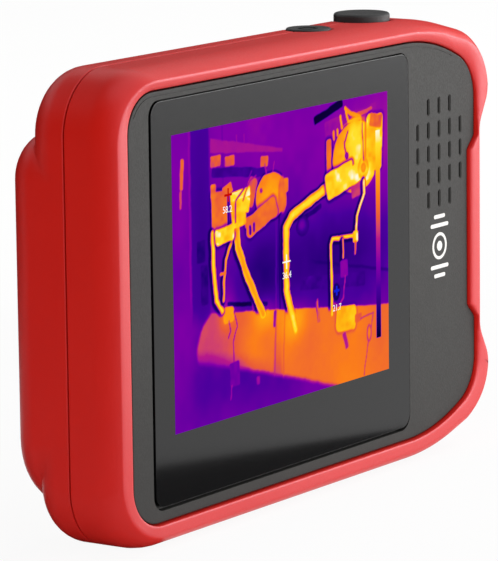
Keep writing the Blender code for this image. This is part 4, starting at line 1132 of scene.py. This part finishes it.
        self.pipe(bends, 2.0, 0.93, 0.74)
        self.block(53.6, 38.0, 9.6, 5.0, 0.92, tilt=0.20, corner=0.7, uneven=0.09, halo=0.6)
        self.block(61.4, 38.6, 7.6, 4.0, 0.92, tilt=0.16, corner=0.8, uneven=0.12)
        self.disc(61.6, 39.2, 3.8, 4.0, 0.80, uneven=0.12)
        self.disc(61.6, 39.2, 1.7, 1.8, 0.68)
        self.block(59.2, 35.4, 3.6, 2.6, 0.50, tilt=0.2)
        self.cable([(55.6, 51.0), (56.6, 48.4), (60.8, 48.6), (61.2, 40.6)], 0.55, 0.88)
        self.cable([(61.3, 47.6), (61.7, 40.6)], 0.3, 0.36)
        self.cable([(55.6, 51.0), (57.6, 49.8), (60.6, 48.8)], 0.8, 0.80)
        self.pipe([(61.8, 36.8), (61.8, 34.4), (59.4, 30.6), (58.8, 27.0)], 0.85, 0.98, 0.72)
        self.pipe([(58.8, 27.0), (51.0, 27.4), (50.4, 26.4), (50.6, 13.4)], 1.0, 0.94, 0.66)
        self.block(58.7, 26.8, 1.7, 2.2, 0.90, uneven=0.14)
        self.cable([(58.7, 25.8), (58.7, 23.6)], 0.7, 0.66)
        self.pipe([(54.4, 26.8), (54.5, 23.4)], 0.6, 0.72, 0.55)
        self.block(54.8, 21.4, 2.5, 3.2, 0.36, uneven=0.03)
        self.cable([(55.0, 19.8), (54.6, 16.0), (52.8, 14.8), (51.4, 15.4)], 0.4, 0.50)
        self.disc(52.1, 17.4, 2.6, 3.2, 0.08, uneven=0.08)
        self.block(55.4, 12.0, 6.8, 4.8, 0.84, tilt=-0.08, corner=1.1, uneven=0.08, halo=0.15)
        self.block(59.6, 11.4, 2.4, 1.6, 0.58)
        self.block(55.1, 7.8, 1.2, 3.4, 0.47, tilt=0.35)
        self.cable([(60.4, 11.0), (64.8, 11.6), (63.4, 7.0)], 0.4, 0.50)
        self.disc(63.2, 7.9, 1.8, 3.4, 0.50)
        self.disc(63.2, 7.9, 1.0, 2.4, 0.66)
        self.cable([(63.0, 6.3), (62.0, 2.8), (61.4, 0.4)], 0.4, 0.50)

    def scale_bar(self) -> None:
        """Draw the scale bar inside the right edge, cold at the bottom and hot at the top."""
        u, v = self.ruled
        middle, half, low, high = 66.6, 0.85, 6.6, 45.6
        inside = (np.abs(u - middle) < half) & (v > low) & (v < high)
        self.heat = np.where(inside, (v - low) / (high - low), self.heat)


@dataclass(frozen=True)
class LitPicture:
    """The lit display under its cover glass: it shines by itself and mirrors nothing."""

    name: str = "lit_thermal_picture"
    strength: float = 1.0
    palette: tuple[tuple[float, str], ...] = (
        (0.00, "#06001c"), (0.12, "#1c0070"), (0.24, "#4a009c"), (0.36, "#8400a8"),
        (0.48, "#b81a88"), (0.58, "#e85a38"), (0.68, "#fb7c1c"), (0.78, "#ffa012"),
        (0.86, "#ffc314"), (0.94, "#ffe12c"), (1.00, "#fffbe0"),
    )

    def make(self) -> bpy.types.Material:
        """Return the material, which reads the mesh's heat."""
        material = blank_material(self.name)
        tree = material.node_tree
        heat = add_node(tree, "ShaderNodeAttribute", attribute_name="warmth")
        ramp = add_node(tree, "ShaderNodeValToRGB", {"Fac": heat.outputs["Fac"]})
        stops = ramp.color_ramp.elements
        while len(stops) < len(self.palette):
            stops.new(0.5)
        for stop, (place, code) in zip(stops, self.palette):
            stop.position = place
            stop.color = linear(code)
        surface = add_node(tree, "ShaderNodeBsdfPrincipled", {
            "Base Color": linear("#000000"), "Roughness": 0.2, "Specular IOR Level": 0.0,
            "Emission Color": ramp.outputs["Color"], "Emission Strength": self.strength,
        }, name="surface")
        add_node(tree, "ShaderNodeOutputMaterial", {"Surface": surface.outputs["BSDF"]})
        return material


@dataclass
class Display:
    """Cover glass with the lit picture and its readings."""

    glass: Outline
    glass_finish: bpy.types.Material
    picture_finish: bpy.types.Material
    inks: dict[str, bpy.types.Material]
    front: float = 1.3
    back: float = 2.4
    edge: float = 0.06
    size: tuple[float, float] = (70.1, 52.6)
    centre: tuple[float, float] = (-10.3, 45.6)
    columns: int = 272
    rows: int = 300
    proud: float = 0.02
    ink_lift: float = 0.02
    ink_depth: float = 0.015
    text_size: float = 1.7
    text_depth: float = 0.004
    rim_share: float = 0.7

    def build(self) -> None:
        """Build the glass, the picture and the readings."""
        front, edge = self.front, self.edge
        steps = [(front, edge), (front + edge / 4, edge / 4), (front + edge, 0.0), (self.back, 0.0)]
        glass = loft("cover_glass_plate", self.glass.rings(steps))
        fit(smooth(glass), self.glass_finish, HOUSING, "cover_glass", "touch_glass")
        self.picture()
        self.readings()

    def place(self, u: float, v: float, lift: float = 0.0) -> Vector:
        """Return a place in the picture, measured in millimetres from its lower left corner."""
        x = self.centre[0] - self.size[0] / 2 + u
        z = self.centre[1] - self.size[1] / 2 + v
        return at(x, self.front - self.proud - lift, z)

    def picture(self) -> None:
        """Build the picture as a fine grid that carries the heat at each point."""
        begin()
        bpy.ops.mesh.primitive_grid_add(
            x_subdivisions=self.columns, y_subdivisions=self.rows, size=1.0,
        )
        piece = name_piece("display_picture")
        choose(piece)
        piece.scale = (*self.size, 1.0)
        bpy.ops.object.transform_apply(location=False, rotation=False, scale=True)
        piece.rotation_euler = (math.pi / 2, 0.0, 0.0)
        piece.location = self.place(self.size[0] / 2, self.size[1] / 2)
        bpy.ops.object.transform_apply(location=True, rotation=True, scale=False)
        bpy.ops.object.mode_set(mode="EDIT")
        bpy.ops.mesh.select_all(action="SELECT")
        bpy.ops.mesh.region_to_loop()
        inwards = {"value": (0.0, self.proud * self.rim_share, 0.0)}
        bpy.ops.mesh.extrude_edges_move(TRANSFORM_OT_translate=inwards)
        bpy.ops.mesh.edge_face_add()
        bpy.ops.object.mode_set(mode="OBJECT")
        points = np.zeros(len(piece.data.vertices) * 3)
        piece.data.vertices.foreach_get("co", points)
        corner = self.place(0.0, 0.0)
        places = points.reshape(-1, 3)
        heat = HeatField(places[:, 0] - corner.x, places[:, 2] - corner.z).draw()
        layer = piece.data.attributes.new("warmth", "FLOAT", "POINT")
        layer.data.foreach_set("value", heat.astype(np.float32))
        fit(piece, self.picture_finish, HOUSING, "display")

    def readings(self) -> None:
        """Add the aiming cross, the spot marks and their readings."""
        self.cross("aim_cross", 35.6, 25.4, 1.3, 0.26, "white")
        self.cross("hot_cross", 17.2, 40.0, 1.2, 0.42, "red")
        self.cross("cold_cross", 52.2, 17.6, 0.9, 0.5, "blue")
        self.reading("aim_reading", "36.4", 34.2, 22.4)
        self.reading("hot_reading", "58.2", 15.4, 36.9)
        self.reading("cold_reading", "21.7", 50.8, 13.9)

    def cross(self, name: str, u: float, v: float, reach: float, width: float, ink: str) -> None:
        """Add an upright cross.

        Args:
            name: The piece's name.
            u: Its centre's distance from the picture's left.
            v: Its centre's height in the picture.
            reach: Half its length.
            width: The width of its bars.
            ink: The colour's name.
        """
        centre = self.place(u, v, self.ink_lift)
        arms = [(width / 2, reach), (width / 2, width / 2), (reach, width / 2)]
        corners = arms + [(a, -b) for a, b in reversed(arms)]
        corners += [(-a, b) for a, b in reversed(corners)]
        depths = (0.0, self.ink_depth)
        rings = [[centre + Vector((a, depth, b)) for a, b in corners] for depth in depths]
        fit(loft(name, rings), self.inks[ink], HOUSING, "display")

    def reading(self, name: str, words: str, u: float, v: float) -> None:
        """Add a small white number on the picture, from its lower left corner."""
        begin()
        bpy.ops.object.text_add()
        text = bpy.context.active_object
        text.data.body = words
        text.data.size = self.text_size
        text.data.extrude = self.text_depth
        bpy.ops.object.convert(target="MESH")
        piece = name_piece(name)
        choose(piece)
        piece.rotation_euler = (math.pi / 2, 0.0, 0.0)
        piece.location = self.place(u, v, self.ink_lift)
        bpy.ops.object.transform_apply(location=True, rotation=True, scale=True)
        bpy.ops.object.mode_set(mode="EDIT")
        bpy.ops.mesh.select_all(action="SELECT")
        bpy.ops.mesh.remove_doubles(threshold=0.0005)
        fit(piece, self.inks["white"], HOUSING, "display")


@dataclass
class Buttons:
    """The two push buttons on the top edge."""

    shape: Shape
    plastic: bpy.types.Material
    ink: bpy.types.Material
    stem: tuple[float, float] = (2.6, 79.1)
    skirt: float = 80.7
    power_rise: float = 0.3
    edge_steps: int = 5
    brink: float = 0.4
    dish_reach: float = 0.92

    def build(self) -> None:
        """Build the shutter and the power button."""
        depth = at(0, self.shape.parting, 0).y
        shutter, power = Vector((SHUTTER_X, depth, 0)), Vector((POWER_X, depth, 0))
        self.cap("shutter_cap", shutter, 10.6, 1.4, 0.55, 0.25, "shutter_key", "shutter_button")
        self.cap("power_cap", power, 8.3, self.power_rise, 0.35, 0.2, "power_key", "power_button")
        self.power_sign(power)

    def cap(self, name: str, centre: Vector, wide: float, rise: float, edge: float, dish: float,
            body: str, node: str) -> None:
        """Build one cap with a rounded edge, a dished top and the stem that presses its plunger.

        Args:
            name: The piece's name.
            centre: A point on its axis.
            wide: Its diameter.
            rise: How far it stands above the top edge.
            edge: The radius of its edge.
            dish: How deep its top is dished.
            body: The body that it rides on.
            node: The CAD node that it stands for.
        """
        top = self.shape.height + rise
        thick, low = self.stem
        profile = [(thick, low), (thick, self.skirt), (wide, self.skirt), (wide, top - edge)]
        for k in range(1, self.edge_steps + 1):
            angle = math.pi / 2 * k / self.edge_steps
            across = wide - 2 * edge * (1 - math.cos(angle))
            profile.append((across, top - edge * (1 - math.sin(angle))))
        flat = wide - 2 * edge
        profile.append((flat - self.brink, top))
        for share in (0.9, 0.75, 0.55, 0.35, 0.15):
            profile.append((flat * share, top - dish * (1 - (share / self.dish_reach) ** 2)))
        fit(turn(name, Axis.UPRIGHT, centre, profile), self.plastic, body, "button_plastic", node)

    def power_sign(self, centre: Vector) -> None:
        """Set a dark ring into the dish of the power button."""
        top = self.shape.height + self.power_rise
        low, high = top - 0.3, top - 0.06
        section = [(3.6, low), (3.6, high), (2.7, high), (2.7, low)]
        ring = turn("power_sign", Axis.UPRIGHT, centre, section, bored=True)
        fit(ring, self.ink, "power_key", "button_plastic")


@dataclass
class PortCover:
    """The rubber flap over the charging socket. Its sizes are heights, depths and corner radii."""

    shape: Shape
    rubber: bpy.types.Material
    size: tuple[float, float, float] = (16.0, 8.0, 2.0)
    plug: tuple[float, float, float] = (7.2, 1.5, 0.4)
    groove: tuple[float, float, float] = (1.2, 5.0, 0.55)
    groove_lift: float = 5.4

    def build(self) -> None:
        """Build the flap with its rounded face, a finger groove and the plug on its back."""
        face = self.shape.right - self.shape.waist
        steps = [(face - 1.2, 0.0), (face - 0.35, 0.0), (face - 0.1, 0.12), (face, 0.38)]
        flap = loft("port_flap", port_rings(self.size, steps))
        groove = port_block("groove_tool", self.groove, face - 0.4, face + 1, self.groove_lift)
        combine(flap, groove)
        combine(flap, port_block("plug_tool", self.plug, face - 2.4, face - 0.9), "UNION")
        fit(smooth(flap), self.rubber, "port_cover", "red_rubber", "usb_cover")


@dataclass
class Optics:
    """What shows on the back: the pod's plate, the thermal lens, two windows and the screws."""

    plate: bpy.types.Material
    metal: bpy.types.Material
    germanium: bpy.types.Material
    window: bpy.types.Material
    lamp: bpy.types.Material
    steel: bpy.types.Material

    def build(self, screws: tuple[tuple[float, float], ...]) -> None:
        """Build every piece on the back."""
        self.cover()
        self.lens_set()
        self.windows()
        for number, (x, z) in enumerate(screws, 1):
            self.screw(number, x, z)

    def cover(self) -> None:
        """Build the plate with rounded edges and a chamfer round each hole."""
        steps = [(23.3, 0.0), (24.15, 0.0), (24.38, 0.1), (24.5, 0.4)]
        plate = loft("lens_cover_plate", lens_plate().rings(steps))
        x, z = LENS_CENTRE
        hole = [(19.6, 22), (19.6, 23.9), (21.2, 24.5), (21.2, 26)]
        combine(plate, turn("lens_tool", Axis.DEPTH, at(x, 0, z), hole))
        for eye in EYES_X:
            hole = [(8.6, 22), (8.6, 24.2), (9.2, 24.5), (9.2, 26)]
            combine(plate, turn("eye_tool", Axis.DEPTH, at(eye, 0, EYES_HEIGHT), hole))
        fit(smooth(plate), self.plate, HOUSING, "black_plastic", "lens_panel")

    def lens_set(self) -> None:
        """Build the barrel with its grooves, the lens and the slotted ring that holds it."""
        centre = at(LENS_CENTRE[0], 0, LENS_CENTRE[1])
        barrel = [(12.2, 15.35), (19.0, 15.35), (19.0, 18.7), (23.4, 18.7), (23.4, 19.9),
                  (19.0, 19.9), (19.0, 23.95), (18.5, 24.2), (16.9, 24.2), (16.6, 24.05)]
        for k in range(3):
            depth, taper = 23.7 - 0.5 * k, 0.35 * k
            barrel += [(16.3 - taper, depth + 0.2), (16.3 - taper, depth), (15.9 - taper, depth)]
        barrel += [(15.2, 22.4), (15.2, 18.8), (12.2, 18.8)]
        piece = turn("barrel", Axis.DEPTH, centre, barrel, bored=True, steps=96)
        fit(piece, self.metal, HOUSING, "aluminium", "lens_barrel")
        dome = [(14.6, 19.1), (14.6, 22.1), (14.4, 22.3)]
        for share in (0.95, 0.88, 0.8, 0.7, 0.58, 0.45, 0.3, 0.15, 0.04):
            dome.append((14.6 * share, 22.3 + 0.8 * (1 - share * share)))
        lens = turn("thermal_lens", Axis.DEPTH, centre, dome, steps=96)
        fit(lens, self.germanium, HOUSING, "germanium", "ir_lens")
        hold = [(14.6, 22.84), (14.6, 23.6), (14.3, 23.75), (13.6, 23.75), (12.6, 22.95),
                (12.6, 22.84)]
        ring = turn("retaining_ring", Axis.DEPTH, centre, hold, bored=True, steps=96)
        for side in (1, -1):
            notch = Outline.rectangle(centre.x + side * 6.8, centre.z, 1.4, 1.2, 0.2, 3)
            combine(ring, notch.block("notch_tool", 23.3, 25.0))
        fit(smooth(ring), self.metal, HOUSING, "aluminium", "lens_retainer")

    def windows(self) -> None:
        """Build the two small windows with bevelled rims. Ribs on the lamp's spread its light."""
        camera, lamp = (at(x, 0, EYES_HEIGHT) for x in EYES_X)
        rim = [(8.0, 23.6), (8.0, 24.2), (7.6, 24.4)]
        flat = rim + [(6.2, 24.4), (5.9, 24.25), (3.6, 24.25), (3.4, 24.0), (0.4, 23.9)]
        piece = turn("camera_eye", Axis.DEPTH, camera, flat)
        fit(piece, self.window, HOUSING, "clear_lens", "camera_window")
        ribs = list(rim)
        for k in range(5):
            wide = 7.0 - 1.25 * k
            ribs += [(wide, 24.4), (wide - 0.7, 24.15)]
        piece = turn("lamp_eye", Axis.DEPTH, lamp, ribs)
        fit(piece, self.lamp, HOUSING, "clear_lens", "lamp_window")

    def screw(self, number: int, x: float, z: float) -> None:
        """Build one socket screw with a six-sided recess."""
        shank = [(2.0, 8.2), (2.0, 18.2)]
        head = [(4.4, 18.2), (4.4, 19.4), (4.2, 19.65), (3.8, 19.8), (0.3, 19.8)]
        piece = turn(f"socket_screw_{number}", Axis.DEPTH, at(x, 0, z), shank + head, steps=48)
        recess = [(2.3, 18.9), (2.3, 20.5)]
        combine(piece, turn("socket_tool", Axis.DEPTH, at(x, 0, z), recess, steps=6))
        fit(smooth(piece), self.steel, HOUSING, "steel", f"case_screw_{number}")


@dataclass
class Studio:
    """Floor, light and camera. Places are in millimetres."""

    fill: float = 0.52
    floor_glow: float = 0.93
    lit: tuple[float, float, float] = (0.0, 0.0, 42.0)
    aim: tuple[float, float, float] = (-13.792, -5.492, 41.399)
    azimuth: float = -55.966
    elevation: float = 9.762
    roll: float = -0.675
    distance: float = 750.44
    lens: float = 267.12

    def build(self) -> None:
        """Set the stage."""
        self.world()
        self.floor()
        self.light("front_panel", (260, -830, 150), (600, 280), 1.9)
        self.light("low_panel", (730, -500, 145), (420, 280), 3.1)
        self.light("side_panel", (800, -60, 560), (500, 500), 4.6, glossy=False)
        self.light("left_panel", (-850, -150, 220), (400, 400), 3.2, glossy=False)
        self.flag("left_flag_back", (-153, 60, 150), 120, 300, solid=True)
        self.flag("left_flag_middle", (-168, -5, 150), 120, 300, solid=True)
        self.flag("left_flag_front", (-147, -69, 150), 120, 300)
        self.flag("back_flag", (500, 338, 215), 640, 420)
        self.flag("left_flag_high", (-60, 115, 260), 220, 160, lying=True, solid=True)
        self.flag("left_flag_low", (-117, 0, -0.1), 138, 220, lying=True)
        self.flag("rear_flag", (0, 150, 70), 260, 140, solid=True)
        # Painted shadow: a black sheet where the floor's shadow lies in front, seen only in
        # reflections.
        self.shadow_sheet("painted_floor_shadow_sheet", [(-36, -22), (60, -22), (60, -26), (4, -48), (-36, -64)])
        self.camera()
        bpy.context.scene.view_settings.view_transform = "Standard"

    def world(self) -> None:
        """Surround the scene with soft light that looks white to the camera and in reflections."""
        world = bpy.data.worlds.new("studio")
        bpy.context.scene.world = world
        world.use_nodes = True
        tree = world.node_tree
        tree.nodes.clear()
        seen = ray_share(tree, "Is Camera Ray", "Is Glossy Ray", "Is Transmission Ray")
        strength = add_node(tree, "ShaderNodeMapRange", {
            "Value": seen, "To Min": self.fill, "To Max": 1.0,
        })
        light = add_node(tree, "ShaderNodeBackground", {
            "Color": linear("#ffffff"), "Strength": strength.outputs["Result"],
        })
        add_node(tree, "ShaderNodeOutputWorld", {"Surface": light.outputs["Background"]})

    def floor(self) -> None:
        """Lay a pale floor that fades to white and keeps a soft shadow."""
        begin()
        bpy.ops.mesh.primitive_plane_add(size=12.0, location=(0, 0, -0.0002))
        floor = name_piece("floor")
        choose(floor)
        bpy.ops.object.transform_apply(location=True, rotation=True, scale=True)
        material = blank_material("pale_floor")
        tree = material.node_tree
        seen = ray_share(tree, "Is Camera Ray", "Is Glossy Ray")
        factors = {0: seen, 1: self.floor_glow}
        share = add_node(tree, "ShaderNodeMath", factors, operation="MULTIPLY")
        paint = add_node(tree, "ShaderNodeBsdfDiffuse", {"Color": linear("#f4f4f2")})
        glow = add_node(tree, "ShaderNodeEmission", {"Color": linear("#ffffff"), "Strength": 1.0})
        mixed = add_node(tree, "ShaderNodeMixShader", {
            0: share.outputs[0], 1: paint.outputs[0], 2: glow.outputs[0],
        })
        add_node(tree, "ShaderNodeOutputMaterial", {"Surface": mixed.outputs[0]})
        floor.data.materials.append(material)

    def light(self, name: str, place: tuple[float, float, float], size: tuple[float, float],
              power: float, glossy: bool = True) -> None:
        """Hang one soft light that faces the object.

        Args:
            name: Its name.
            place: Where it hangs, in millimetres.
            size: Its width and height in millimetres.
            power: Its power in watts.
            glossy: Whether it is mirrored in the object.
        """
        begin()
        bpy.ops.object.light_add(type="AREA", location=Vector(place) * MM)
        lamp = bpy.context.active_object
        lamp.name = name
        lamp.data.shape = "RECTANGLE"
        lamp.data.size, lamp.data.size_y = size[0] * MM, size[1] * MM
        lamp.data.energy = power
        lamp.visible_glossy = glossy
        aim = Vector(self.lit) * MM - lamp.location
        lamp.rotation_euler = aim.to_track_quat("-Z", "Y").to_euler()

    def flag(self, name: str, place: tuple[float, float, float], wide: float, high: float,
             lying: bool = False, solid: bool = False) -> None:
        """Set a black board that only reflections show, as a studio does to keep a colour deep.

        Args:
            name: Its name.
            place: Its middle, in millimetres.
            wide: Its width in millimetres.
            high: Its height in millimetres.
            lying: Whether it lies flat. Otherwise it stands and faces the object.
            solid: Whether it also keeps the soft light of the surroundings off.
        """
        begin()
        bpy.ops.mesh.primitive_plane_add(size=1.0)
        board = name_piece(name)
        choose(board)
        board.scale = (wide * MM, high * MM, 1.0)
        if not lying:
            board.rotation_euler = (math.pi / 2, 0.0, math.atan2(place[0], -place[1]))
        board.location = Vector(place) * MM
        bpy.ops.object.transform_apply(location=True, rotation=True, scale=True)
        self.unseen(board, solid)

    def shadow_sheet(self, name: str, corners: Pairs) -> None:
        """Lay a thin black sheet that is only seen in reflections: a painted shadow on the floor in
        front of the object.

        Args:
            name: Its name.
            corners: Its corners in millimetres, clockwise from above.
        """
        top, bottom = 0.5, 0.3
        sheet = loft(name, [[Vector((x, y, z)) for x, y in corners] for z in (top, bottom)])
        choose(sheet)
        sheet.scale = (MM, MM, MM)
        bpy.ops.object.transform_apply(location=False, rotation=False, scale=True)
        self.unseen(sheet, False)

    def unseen(self, board: bpy.types.Object, solid: bool) -> None:
        """Dress a board in black and keep it out of all but reflections."""
        velvet = MouldedPlastic("black_velvet_board", ("#050505", "#080808"), 0.95).make()
        board.data.materials.clear()
        board.data.materials.append(velvet)
        board.visible_camera = board.visible_shadow = board.visible_transmission = False
        board.visible_diffuse = solid

    def camera(self) -> None:
        """Stand the camera where the photograph was taken from."""
        begin()
        a, e = math.radians(self.azimuth), math.radians(self.elevation)
        back = Vector((math.sin(a) * math.cos(e), -math.cos(a) * math.cos(e), math.sin(e)))
        bpy.ops.object.camera_add(location=(Vector(self.aim) + back * self.distance) * MM)
        camera = bpy.context.active_object
        camera.name = "photo_camera"
        level = (-back).to_track_quat("-Z", "Y").to_matrix()
        turned = level @ Matrix.Rotation(math.radians(self.roll), 3, "Z")
        camera.rotation_euler = turned.to_euler()
        camera.data.lens = self.lens
        camera.data.sensor_width = 36.0
        camera.data.clip_start = 0.01
        bpy.context.scene.camera = camera


class InnerFinish(Enum):
    """Finishes of the pieces inside the housing, with the CAD nodes that they go on."""

    BOARD = ("main_board", "sensor_board")
    STEEL = ("backlight_tray", "processor_shield", "usb_connector", "flag_motor")
    BLACK = (
        "speaker", "mid_frame", "power_switch", "shutter_switch", "camera_module",
        "sensor_connector",
    )
    WHITE = ("power_plunger", "shutter_plunger", "led_lamp", "thermal_sensor")
    FOAM = ("battery_pad", "lens_seal")
    CELL = ("battery_pack",)
    PANEL = ("lcd_cell",)
    COPPER = ("nfc_antenna",)
    METAL = ("calibration_flag",)


def dress_inside() -> None:
    """Give every CAD node that stays a finish of its own."""
    finishes = {
        InnerFinish.BOARD: MouldedPlastic(
            "solder_mask_on_glass_fibre", ("#0d4a22", "#125a2a"), 0.4, 0.5, 3.0,
        ),
        InnerFinish.STEEL: MetalFinish("stamped_stainless_steel", ("#b4b4b6", "#c2c2c4"), 0.34),
        InnerFinish.BLACK: MouldedPlastic("black_nylon", ("#17171a", "#1d1d20"), 0.55),
        InnerFinish.WHITE: MouldedPlastic("white_ceramic", ("#d8d6cf", "#e4e2dc"), 0.4),
        InnerFinish.FOAM: MouldedPlastic(
            "closed_cell_foam", ("#1f1f20", "#29292b"), 0.9, 0.5, 2.0, 0.3,
        ),
        InnerFinish.CELL: MouldedPlastic("blue_shrink_film", ("#1d4a86", "#235392"), 0.35),
        InnerFinish.PANEL: MouldedPlastic("dark_display_cell", ("#0a0a12", "#10101a"), 0.2),
        InnerFinish.COPPER: MetalFinish("etched_copper_foil", ("#b5673a", "#c47444"), 0.3),
        InnerFinish.METAL: MetalFinish(
            "black_anodised_aluminium_blade", ("#2a2a2c", "#343436"), 0.45,
        ),
    }
    for group, finish in finishes.items():
        material = finish.make()
        for node in group.value:
            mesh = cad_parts[node].data
            mesh.materials.clear()
            mesh.materials.append(material)


def ink(name: str, code: str, glow: float = 0.0) -> bpy.types.Material:
    """Return a printed ink, or a lit one for what the display draws."""
    paint = "#000000" if glow else code
    material = MouldedPlastic(name, (paint, paint), 0.5, 0.3, 5.0, 0.0, 0.0 if glow else 0.5).make()
    surface = material.node_tree.nodes["surface"]
    surface.inputs["Emission Color"].default_value = linear(code)
    surface.inputs["Emission Strength"].default_value = glow
    return material


def main() -> None:
    """Build, dress and stage the camera."""
    logging.basicConfig(level=logging.INFO, format="%(message)s")
    shape = Shape()
    rubber = SoftTouchRubber().make()
    housing = Housing(shape, rubber)
    housing.front()
    housing.back()
    grey = MouldedPlastic("grey_fascia_plastic", ("#343332", "#393836"), 0.55, gloss=0.19).make()
    fascia = Fascia(shape, grey, ink("white_pad_print", "#eceae6"))
    fascia.build()
    inks = {"white": ink("lit_white", "#ffffff", 1.0), "red": ink("lit_red", "#c80a06", 1.0),
            "blue": ink("lit_blue", "#1420d8", 1.0)}
    glass, picture = CoverGlass("black_backed_cover_glass").make(), LitPicture().make()
    Display(fascia.glass, glass, picture, inks).build()
    black = MouldedPlastic("black_satin_plastic", ("#1d1d1e", "#232324"), 0.58, gloss=0.65).make()
    emboss = MouldedPlastic("dark_emboss", ("#0b0b0c", "#101011"), 0.6, gloss=0.2).make()
    Buttons(shape, black, emboss).build()
    PortCover(shape, rubber).build()
    Optics(
        plate=MouldedPlastic(
            "black_lens_plate", ("#151516", "#1a1a1b"), 0.3, 0.3, 8.0, 0.04,
        ).make(),
        metal=MetalFinish("black_anodised_aluminium", ("#3a3a3c", "#444447"), 0.35).make(),
        germanium=MetalFinish(
            "coated_germanium", ("#4a3f4c", "#3c4250"), 0.1, 0.4, 9.0, 0.0,
        ).make(),
        window=CoverGlass("dark_camera_glass").make(),
        lamp=MouldedPlastic(
            "clear_ribbed_lens", ("#c9ced2", "#d6dadc"), 0.12, 0.4, 4.0, 0.0,
        ).make(),
        steel=MetalFinish("blackened_screw_steel", ("#58585a", "#646466"), 0.3).make(),
    ).build(housing.screws)
    dress_inside()
    Studio().build()


if __name__ == "__main__":
    main()
